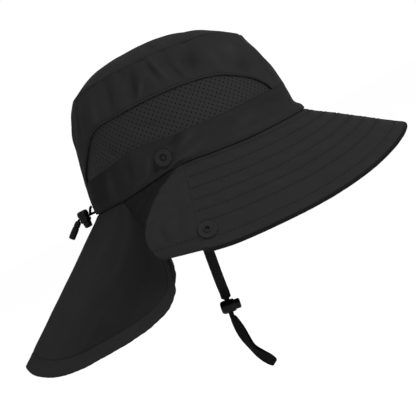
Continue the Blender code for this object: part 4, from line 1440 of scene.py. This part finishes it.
# Mesh vents, with their holes, in millimetres apart from the bend into the band
HOLE_PITCH, HOLE_ROW, HOLE_WIDE, HOLE_TALL, HOLE_DEEP = 5.4, 2.57, 0.42, 0.76, 0.6
VENT_LOWEST, VENT_HIGHEST = 18, 78
VENT_BEND = 0.0011
HOLE_RINGS = (
    # size, depth
    (1.9, -0.06),
    (1.25, -0.04),
    (1.0, 0.10),
    (0.85, HOLE_DEEP),
)
VENT_WAVES = (
    # along the crown from its front, height, half length, half width, direction, rise, in millimetres
    (82, 58, 12, 5.0, 20, -1.5), (96, 50, 14, 5.0, 18, 0.9), (126, 62, 12, 6.0, 30, -0.8),
    (150, 52, 16, 5.0, 14, 0.9), (172, 46, 14, 5.0, 20, -0.8), (196, 52, 12, 5.0, 40, 0.7),
    (214, 40, 10, 4.0, 60, -1.0), (112, 42, 16, 4.0, 8, -0.6),
)


def mesh_vent(name, hand):
    """Knitted mesh with staggered rows of sunk oval holes, cut along seams behind the wall and band."""
    start, end = MESH_START * AROUND_CROWN, MESH_END * AROUND_CROWN
    half_x, half_y = HOLE_PITCH / 2, HOLE_ROW / 2
    points, faces, dark, marks, fronts, backs = [], [], [], [], {}, {}

    def limits(run):
        angle = min(max(run, start), end) / AROUND_CROWN * hand
        low, high = band_top(angle), max(arch_height(angle), band_top(angle))
        return (low - MESH_UNDERLAP) * 1000, (high + MESH_UNDERLAP) * 1000

    def add(run, height, sunk):
        low, high = limits(run)
        wave = 1.5 * float(folds(VENT_WAVES, np.array(run), np.array(height)))
        wave *= min(max((height - low - 4) / 6, 0), 1) * min(max((high - 4 - height) / 6, 0), 1)
        behind = min(max((height - low - 3.6) / 3.5, 0), 1)
        inset = BAND_CLOTH * (1 - behind) + CROWN_CLOTH * behind + GAP
        inset -= VENT_BEND * bump(height - low - 3.2, 1.1)
        points.append(crown_point(run / AROUND_CROWN * hand, height / 1000,
                                  inset + (sunk - min(wave, 0.1)) / 1000))
        marks.append((run, height, 0))
        return len(points) - 1

    def corner(run, height, layer):
        run = min(max(run, start), end)
        low, high = limits(run)
        height = min(max(height, low), high)
        key, store = (round(run, 2), round(height, 2)), (fronts, backs)[layer]
        if key not in store:
            store[key] = add(run, height, layer * MESH_CLOTH * 1000)
        return store[key]

    def single(ids):
        """The face's corners without repeats, or none where it has closed up."""
        ids = [k for n, k in enumerate(ids) if k != ids[n - 1]]
        return ids if len(set(ids)) == len(ids) >= 3 else []

    def face(ids, is_dark=False):
        ids = single(ids)
        if ids:
            faces.append(ids if hand > 0 else ids[::-1])
            dark.append(is_dark)

    def fan(ids, depth):
        """Small faces from a many-sided one's middle to its sides."""
        ids = single(ids)
        if ids:
            centre = [sum(marks[k][axis] for k in ids) / len(ids) for axis in (0, 1)]
            middle = add(*centre, depth)
            for n, k in enumerate(ids):
                face([ids[n - 1], k, middle])

    ring = [(-half_x, -half_y), (-half_x / 2, -half_y), (0, -half_y), (half_x / 2, -half_y),
            (half_x, -half_y), (half_x, 0), (half_x, half_y), (half_x / 2, half_y),
            (0, half_y), (-half_x / 2, half_y), (-half_x, half_y), (-half_x, 0)]
    turns = [math.atan2(y * 1.6, x) for x, y in ring]
    for row in range(int(VENT_LOWEST / HOLE_ROW), int(VENT_HIGHEST / HOLE_ROW) + 1):
        height = row * HOLE_ROW
        for k in range(int((end - start) / HOLE_PITCH) + 2):
            run = start + half_x * (row % 2) + k * HOLE_PITCH
            border = [(run + x, height + y) for x, y in ring]
            within = [limits(x)[0] < y < limits(x)[1] and start < x < end for x, y in border]
            if not any(within):
                continue
            front = [corner(x, y, 0) for x, y in border]
            back = [corner(x, y, 1) for x, y in border]
            fan(back[::-1], MESH_CLOTH * 1000)
            if not all(within):
                fan(front, 0)
                continue
            rims = []
            for size, sunk in HOLE_RINGS:
                wide, tall = HOLE_WIDE * size, HOLE_TALL * min(size, 1.45)
                rims.append([add(run + wide * math.cos(t), height + tall * math.sin(t), sunk) for t in turns])
            rings = [front] + rims
            for n, (outer, inner) in enumerate(zip(rings, rings[1:])):
                for a in range(len(ring)):
                    b = (a + 1) % len(ring)
                    face([outer[a], outer[b], inner[b], inner[a]], n == len(HOLE_RINGS) - 1)
            # The deepest ring and the closed bottom take the near-black finish: painted shade.
            face(rims[-1], True)
    twins = {fronts[key]: backs[key] for key in fronts}
    used = {}
    for ids in faces:
        for a, b in zip(ids, ids[1:] + ids[:1]):
            used.setdefault(frozenset((a, b)), []).append((a, b))
    for ways in list(used.values()):
        if len(ways) == 1 and ways[0][0] in twins and ways[0][1] in twins:
            a, b = ways[0]
            faces.append([b, a, twins[a], twins[b]])
            dark.append(False)
    made = mesh_object(name, points, faces, MESH_FINISH, marks)
    made.data.materials.append(HOLE_SHADE_FINISH)
    for polygon, is_dark in zip(made.data.polygons, dark):
        polygon.material_index = int(is_dark)
    made.data.set_sharp_from_angle(angle=math.radians(70))
    return made


for side_name, side_hand in (("right", -1), ("left", 1)):
    vent_piece = mesh_vent("vent_" + side_name, side_hand)
    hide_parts("mesh_vent_" + side_name)


# Brim
ROW_COUNT = 6
BRIM_MM = BRIM_WIDTH * 1000
HEM_MM = HEM_WIDTH * 1000
HEM_STITCH = 1.2


def row_reach(k, angle):
    """Reach of a stitched row in millimetres from the band, closest together at the sides."""
    front = max(math.cos(math.radians(turned(angle))), 0) ** 2
    first, last = 2.6 + 3.0 * front, 62.5 + 1.5 * front
    return first + (last - first) * k / (ROW_COUNT - 1)


def brim_rows(angle):
    """Reaches of the grid's lines, close together at each stitched row, from the hem up to the band."""
    hem = BRIM_MM - HEM_MM
    reaches = [hem, hem - 0.25, hem - 0.6, hem - 1.0, hem - 1.5, hem - 2.2, hem - 3.4, hem - 5.5, hem - 9.0]
    for k in reversed(range(ROW_COUNT)):
        middle = row_reach(k, angle)
        gap = (middle - row_reach(k - 1, angle)) / 2 if k else middle
        reaches += [middle + 3.4, middle + 1.9, middle + 1.0, middle + 0.5, middle, middle - 0.5,
                    middle - 1.0]
        if k:
            reaches += [middle - 1.9, middle - 3.4, middle - gap - 0.6]
    reaches += [0.8 * row_reach(0, angle) - 0.9, 0.0]
    return reaches


brim_columns = 640
brim_shares = []
for k in range(brim_columns + 1):
    reaches = sorted(brim_rows(brim_angle(k / brim_columns)), reverse=True)
    reaches = [min(max(r, 0.0), BRIM_MM - HEM_MM) for r in reaches]
    for n in range(1, len(reaches)):
        reaches[n] = min(reaches[n], reaches[n - 1] - 0.08)
    brim_shares.append([1 - r / (BRIM_MM - HEM_MM) for r in reaches])
brim_shares = np.array(brim_shares)
brim_shares = (brim_shares - brim_shares[:, :1]) / (brim_shares[:, -1:] - brim_shares[:, :1])
brim = Cloth(lambda c, r: brim_point(brim_angle(c), (1 - r) * (1 - HEM_SHARE + EDGE_SHARE)), (64, 10),
             brim_columns, brim_shares)
brim_angles = np.array([brim_angle(c) for c in brim.across])
reach_mm = (1 - brim_shares) * (BRIM_MM - HEM_MM)
brim_height = 0
for k in range(ROW_COUNT):
    middle = np.array([row_reach(k, a) for a in brim_angles])[:, None]
    brim_height = brim_height + sewn_row(reach_mm - middle, brim.along, depth=0.62, pucker=0.34)
from_hem = BRIM_MM - HEM_MM - reach_mm
from_side = np.minimum(brim.along - brim.along[:1], brim.along[-1:] - brim.along)
brim_height = brim_height + sewn_row(from_hem - HEM_STITCH, brim.along, depth=0.35, pucker=0.12)
brim_height = brim_height + valley(from_hem, 0.6, 0.35) + ripple(brim.along, reach_mm, 41, 0.22, 16, 60)
brim_height = brim_height * np.clip(from_side / 3, 0, 1) + valley(from_side, 0.9, 0.30)
brim_height = brim_height + 0.18 * np.exp(-((from_side - 1.6) / 1.2) ** 2)
brim.shape(brim_height)
brim_piece = shell("brim_cloth_piece", brim, BRIM_CLOTH * 1000, BRIM_CLOTH_FINISH, every=2)
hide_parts("brim")
lines = []
for k in range(ROW_COUNT):
    shares = np.array([1 - row_reach(k, a) / (BRIM_MM - HEM_MM) for a in brim_angles])
    points, normals = brim.line(shares)
    lines.append((points[3:-3], normals[3:-3]))
lines.append(brim.line(HEM_STITCH / (BRIM_MM - HEM_MM)))
brim_stitches = stitch_rows("brim_stitches", lines, THREAD_FINISH, thread=0.30, sink=0.10)

EDGE_TURN = 3.3
hem_rows = close_rows(HEM_MM + EDGE_TURN, (0, 0.06, 0.2, 0.42, 0.75, 1.15, 1.7, 2.3, 2.9, 3.5, 4.3),
                      (0, 0.15, 0.4, 0.8, 1.4), 1.2)


def hem_point(column, row):
    """The hem, its edge turned under and hanging a little below the brim's cloth away from the side seams."""
    from_seams = min(min(column, 1 - column) / 0.012, 1)
    turn = EDGE_TURN / BRIM_MM * from_seams * (1 - 0.35 * bump(column - 0.5, 0.2))
    return brim_point(brim_angle(column), 1 + turn - row * (HEM_SHARE + turn))


brim_hem = Cloth(hem_point, (168, 3), 560, hem_rows)
hem_side = np.minimum(brim_hem.along - brim_hem.along[:1], brim_hem.along[-1:] - brim_hem.along)
brim_hem.shape(valley(brim_hem.tall - brim_hem.up, 0.7, 0.30)
               + 0.30 * np.exp(-((brim_hem.up - 5.4) / 2.2) ** 2)
               - 2.0 * np.clip(1 - brim_hem.up / 3.6, 0, 1) ** 2
               + (ripple(brim_hem.along, brim_hem.up, 43, 0.10, 5, 24)) * np.clip(hem_side / 3, 0, 1)
               + valley(hem_side, 0.8, 0.30))
# Painted shade on the turned-under edge of the hem.
brim_hem.paint_shade(0.75 * np.clip((3.9 - brim_hem.up) / 1.2, 0, 1) * np.clip(hem_side / 8, 0, 1))
hem_piece = shell("brim_edge", brim_hem, HEM_CLOTH * 1000, BRIM_CLOTH_FINISH, every=1, rounded=("low",))
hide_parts("brim_hem")

# Gussets, with their cloth above the hem in millimetres
GUSSET_UPPER = 50.0
GUSSET_UPPER_SHARE = 1 - GUSSET_HEM_SHARE + 0.5 * SEAM_SHARE
GUSSET_FOLDS = (
    # along, up from the hem, half length, half width, direction, rise, in millimetres
    (-30, 40, 10, 2.6, 50, 0.6), (-26, 30, 12, 3.0, 58, -0.7), (-32, 18, 12, 3.0, 30, 0.5),
    (-20, 12, 10, 3.0, 12, -0.5), (-38, 26, 8, 2.2, 80, -0.6), (30, 40, 10, 2.6, -50, 0.6),
    (26, 30, 12, 3.0, -58, -0.7), (32, 18, 12, 3.0, -30, 0.5), (-12, 34, 10, 2.6, 100, -0.6),
    (8, 24, 12, 3.0, 90, 0.6), (14, 12, 10, 3.0, 100, -0.6), (-6, 10, 9, 3.0, 80, 0.5),
)


def fullness(side, down):
    """How far the cape's front corners hang forward, by the share of its width from its front edge."""
    return 0.0028 * bump(side - 0.05, 0.07) * min(max((down - 0.66) / 0.3, 0), 1)


def pleat_place(column, down, hand):
    """The gusset from just under the brim's seam to just past the crease, where it follows the cape."""
    across = column if hand > 0 else 1 - column
    point = gusset_point(-0.004 + across * 1.012, down, hand)
    point.y -= fullness(0, down) * max(2 * across - 1, 0)
    return point


for side_name, side_hand in (("right", -1), ("left", 1)):
    upper = close_rows(GUSSET_UPPER, (0, 0.2, 0.5, 0.9, 1.3, 1.8, 2.6, 4.0), (0, 0.5, 1.2, 2.2), 1.5)
    columns = np.concatenate([[0, 0.004, 0.010, 0.018], np.linspace(0.028, 0.972, 110),
                              [0.982, 0.990, 0.996, 1]])
    gusset = Cloth(lambda c, r, h=side_hand: pleat_place(c, (1 - r) * GUSSET_UPPER_SHARE, h),
                   (40, 12), columns, upper)
    share = gusset.up / np.maximum(gusset.tall, 0.01)
    out = np.clip(gusset.tall / 20, 0, 1)
    from_brim = gusset.along - gusset.along[:1] if side_hand > 0 else gusset.along[-1:] - gusset.along
    soft = np.clip(gusset.up / 6, 0, 1) * np.clip(from_brim / 3, 0, 1) * out
    gusset.shape(folds(GUSSET_FOLDS, gusset.along, gusset.up) * soft
                 + ripple(gusset.along, gusset.up, 51 + side_hand, 0.28, 7, 26) * soft
                 + (sewn_row(gusset.up - HEM_STITCH, gusset.along, depth=0.35, pucker=0.22)
                    + valley(gusset.up, 0.6, 0.3)) * out
                 + valley(from_brim, 0.8, 0.35) * out)
    # Painted shade on the gusset's inner half, in the pleat's recess.
    gusset.paint_shade(0.62 * np.clip((gusset.along * side_hand - 0.5) / 2.5, 0, 1))
    gusset_piece = shell("gusset_cloth_" + side_name, gusset, CAPE_CLOTH * 1000, BRIM_CLOTH_FINISH, every=2)
    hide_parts("gusset_" + side_name)
    edge = Cloth(lambda c, r, h=side_hand: pleat_place(c, 1 - r * GUSSET_HEM_SHARE, h), (40, 3), columns,
                 close_rows(HEM_MM, (0, 0.06, 0.2, 0.45, 0.8, 1.3, 2.0), (0, 0.2, 0.6, 1.2), 1.2))
    edge.shape(valley(edge.tall - edge.up, 0.7, 0.3) + 0.20 * np.exp(-((edge.up - 5.0) / 2.6) ** 2)
               - 0.6 * np.clip(1 - edge.up / 2.6, 0, 1) ** 2 + ripple(edge.along, edge.up, 57, 0.16, 6, 22))
    # Painted shade on the inner half of the gusset's hem.
    edge.paint_shade(0.45 * np.clip((edge.along * side_hand - 0.5) / 2.5, 0, 1))
    edge_piece = shell("gusset_edge_" + side_name, edge, GUSSET_HEM_CLOTH * 1000, BRIM_CLOTH_FINISH,
                       every=1, rounded=("low",))
    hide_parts("gusset_hem_" + side_name)
    gusset_stitches = stitch_rows("gusset_stitches_" + side_name,
                                  [gusset.line(HEM_STITCH / GUSSET_UPPER)], THREAD_FINISH, thread=0.30,
                                  sink=0.10)

# Cape, with its cloth above the hem and the row of stitches over the hem in millimetres
CAPE_UPPER = 100.0
CAPE_STITCH = 1.0
CAPE_FOLDS = (
    # along from the back's middle, up from the hem, half length, half width, direction, rise, in mm
    (-150, 40, 24, 8, 70, -1.2), (-120, 52, 30, 9, 72, 1.0), (-170, 70, 20, 5, 78, -0.9),
    (-96, 30, 26, 8, 80, -1.0), (-178, 84, 12, 4, 66, -1.1), (-168, 88, 12, 4, 74, 0.9),
    (-60, 60, 30, 10, 88, 0.9), (-30, 40, 26, 9, 92, -0.9), (10, 56, 28, 10, 90, 0.8),
    (44, 40, 26, 9, 86, -1.0), (80, 60, 28, 9, 96, 1.0), (112, 40, 26, 8, 100, -1.0),
    (140, 58, 26, 8, 106, 1.0), (166, 74, 18, 5, 104, -0.9), (178, 86, 12, 4, 110, 0.8),
)


def cape_hang(column, down):
    """The cape as it hangs: a little fuller in front, at the back and towards its hem."""
    point = cape_point(steps_between(1, -1, column), down)
    point.y -= fullness(min(column, 1 - column), down)
    point.y += 0.0016 * bump(column - 0.5, 0.10) * min(max((down - 0.45) / 0.4, 0), 1)
    return point


cape_rows = close_rows(CAPE_UPPER, (0, 0.2, 0.5, 0.9, 1.3, 1.8, 2.6, 4.0), (0, 0.6, 1.4, 2.6, 4.4), 2.0)
cape_columns = np.concatenate([[0, 0.0006, 0.0016, 0.003, 0.005], np.linspace(0.0075, 0.9925, 300),
                               [0.995, 0.997, 0.9984, 0.9994, 1]])
cape = Cloth(lambda c, r: cape_hang(c, (1 - r) * (1 - CAPE_HEM_SHARE + GAP / CAPE_LENGTH)), (96, 14),
             cape_columns, cape_rows)
out = np.clip(cape.tall / 30, 0, 1)
from_top = cape.tall - cape.up
soft = np.clip(cape.up / 6, 0, 1) * out * np.clip(from_top / 2, 0, 1)
cape_gathers = ripple(cape.along, cape.up * 0.15, 61, 0.5, 7, 18, 10) * np.exp(-from_top / 5.0)
cape_gathers = cape_gathers * np.clip(from_top / 1.5, 0, 1)
cape.shape(0.4 * folds(CAPE_FOLDS, cape.along, cape.up) * soft + cape_gathers
           + ripple(cape.along, cape.up, 63, 0.14, 18, 60) * soft
           + sewn_row(cape.up - CAPE_STITCH, cape.along, stitch=3.2, depth=0.30, pucker=0.08) * out
           + valley(cape.up, 0.6, 0.3))
# Painted shade on the cape's sides, less towards the front corners.
from_middle = np.abs(cape.along)
toward_front = 1 - 0.6 * np.clip((from_middle - 120) / 50, 0, 1)
cape.paint_shade(0.34 * np.clip((from_middle - 40) / 45, 0, 1) * toward_front)
cape_piece = shell("cape_cloth_piece", cape, CAPE_CLOTH * 1000, CAPE_CLOTH_FINISH, every=2)
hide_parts("neck_cape")
cape_edge = Cloth(lambda c, r: cape_hang(c, 1 - r * CAPE_HEM_SHARE + 0.016 * (1 - r)), (96, 3), cape_columns,
                  close_rows(HEM_MM, (0, 0.06, 0.2, 0.45, 0.8, 1.3, 2.0), (0, 0.2, 0.6, 1.2), 1.2))
cape_edge.shape(valley(cape_edge.tall - cape_edge.up, 0.7, 0.3)
                + 0.25 * np.exp(-((cape_edge.up - 4.5) / 3.0) ** 2)
                + ripple(cape_edge.along, cape_edge.up, 67, 0.12, 6, 30))
cape_hem_piece = shell("cape_edge", cape_edge, HEM_CLOTH * 1000, CAPE_CLOTH_FINISH, every=1, rounded=("low",))
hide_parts("cape_hem")
cape_stitches = stitch_rows("cape_stitches", [cape.line(CAPE_STITCH / CAPE_UPPER)], CAPE_THREAD_FINISH,
                            stitch=3.2, thread=0.26, sink=0.08)


# Snaps
def ring_edge(radius, top, edge, steps=5):
    """Quarter round from the top of a rim to its side."""
    turns = [math.radians(90 - 90 * k / steps) for k in range(steps + 1)]
    return [(radius - edge + edge * math.cos(t), top - edge + edge * math.sin(t)) for t in turns]


def band_snap(name, place, node):
    """Raised cap with a rounded ring about a sunken, domed eye."""
    radius, high = BAND_SNAP_DIAMETER * 500, SNAP_THICKNESS * 1000
    profile = [(0, high * 0.80), (0.9, high * 0.76), (1.6, high * 0.62), (2.0, high * 0.40),
               (2.3, high * 0.34), (2.7, high * 0.36)]
    profile += [(3.0, high * 0.70), (3.3, high * 0.92), (3.8, high), (radius - 2.0, high),
                (radius - 1.4, high - 0.03)]
    profile += ring_edge(radius, high, 1.0) + [(radius, high * 0.35), (radius - 0.25, 0.06),
                                               (radius - 0.6, 0.0), (0, 0)]
    made = turned_piece(name, profile, 96, place, SNAP_FINISH)
    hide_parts(node)


def brim_snap(name, place, node):
    """Flat flange with a raised collar about its hole."""
    radius, high = BRIM_SNAP_DIAMETER * 500, SNAP_THICKNESS * 1000
    flange = high * 0.42
    profile = [(0, 0.35), (1.5, 0.35), (1.9, 0.5), (2.1, high * 0.90), (2.35, high), (2.9, high),
               (3.25, high * 0.92), (3.5, high * 0.7),
               (3.7, flange + 0.05), (4.2, flange - 0.06), (radius - 2.2, flange - 0.02),
               (radius - 1.6, flange + 0.16)]
    profile += ring_edge(radius, flange + 0.18, 0.6) + [(radius, 0.3), (radius - 0.3, 0.0), (0, 0)]
    made = turned_piece(name, profile, 96, place, SNAP_FINISH)
    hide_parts(node)


for side_name, side_hand in (("right", -1), ("left", 1)):
    band_snap("band_snap_cap_" + side_name,
              seated_frame(lambda a, u, h=side_hand: band_snap_place(a, u, h), BAND_SNAP_DIAMETER / 2),
              "band_snap_" + side_name)
    brim_snap("brim_snap_socket_" + side_name,
              seated_frame(lambda a, u, h=side_hand: brim_snap_place(a, u, h), BRIM_SNAP_DIAMETER / 2),
              "brim_snap_" + side_name)


# Studio
FLOOR_LEVEL = -0.30
FLOOR_REACH = 30


def lamp(name, place, aim, size, power):
    light = bpy.data.lights.new(name, "AREA")
    light.shape, light.size, light.energy = "DISK", size, power
    made = bpy.data.objects.new(name, light)
    made.location = place
    made.rotation_mode = "QUATERNION"
    made.rotation_quaternion = (Vector(place) - Vector(aim)).to_track_quat("Z", "Y")
    bpy.context.scene.collection.objects.link(made)


def studio():
    """Plain white floor and surroundings with one soft lamp from above, in front and on the right."""
    world = bpy.data.worlds.new("studio")
    world.use_nodes = True
    surroundings = world.node_tree.nodes["Background"].inputs
    surroundings["Color"].default_value = (1, 1, 1, 1)
    surroundings["Strength"].default_value = 1.02
    bpy.context.scene.world = world
    bpy.context.scene.view_settings.view_transform = "Standard"
    mesh = bpy.data.meshes.new("floor")
    corners = [(x * FLOOR_REACH, y * FLOOR_REACH, FLOOR_LEVEL)
               for x, y in ((-1, -1), (1, -1), (1, 1), (-1, 1))]
    mesh.from_pydata(corners, [], [(0, 1, 2, 3)])
    paper = bpy.data.materials.new("white_floor")
    paper.use_nodes = True
    surface = paper.node_tree.nodes["Principled BSDF"].inputs
    surface["Base Color"].default_value = (0.97, 0.97, 0.97, 1)
    surface["Roughness"].default_value = 1.0
    surface["Specular IOR Level"].default_value = 0.0
    mesh.materials.append(paper)
    floor = bpy.data.objects.new("floor", mesh)
    bpy.context.scene.collection.objects.link(floor)
    lamp("key", (-1.45, -1.25, 1.35), (0, 0, 0), 1.2, 42)


studio()
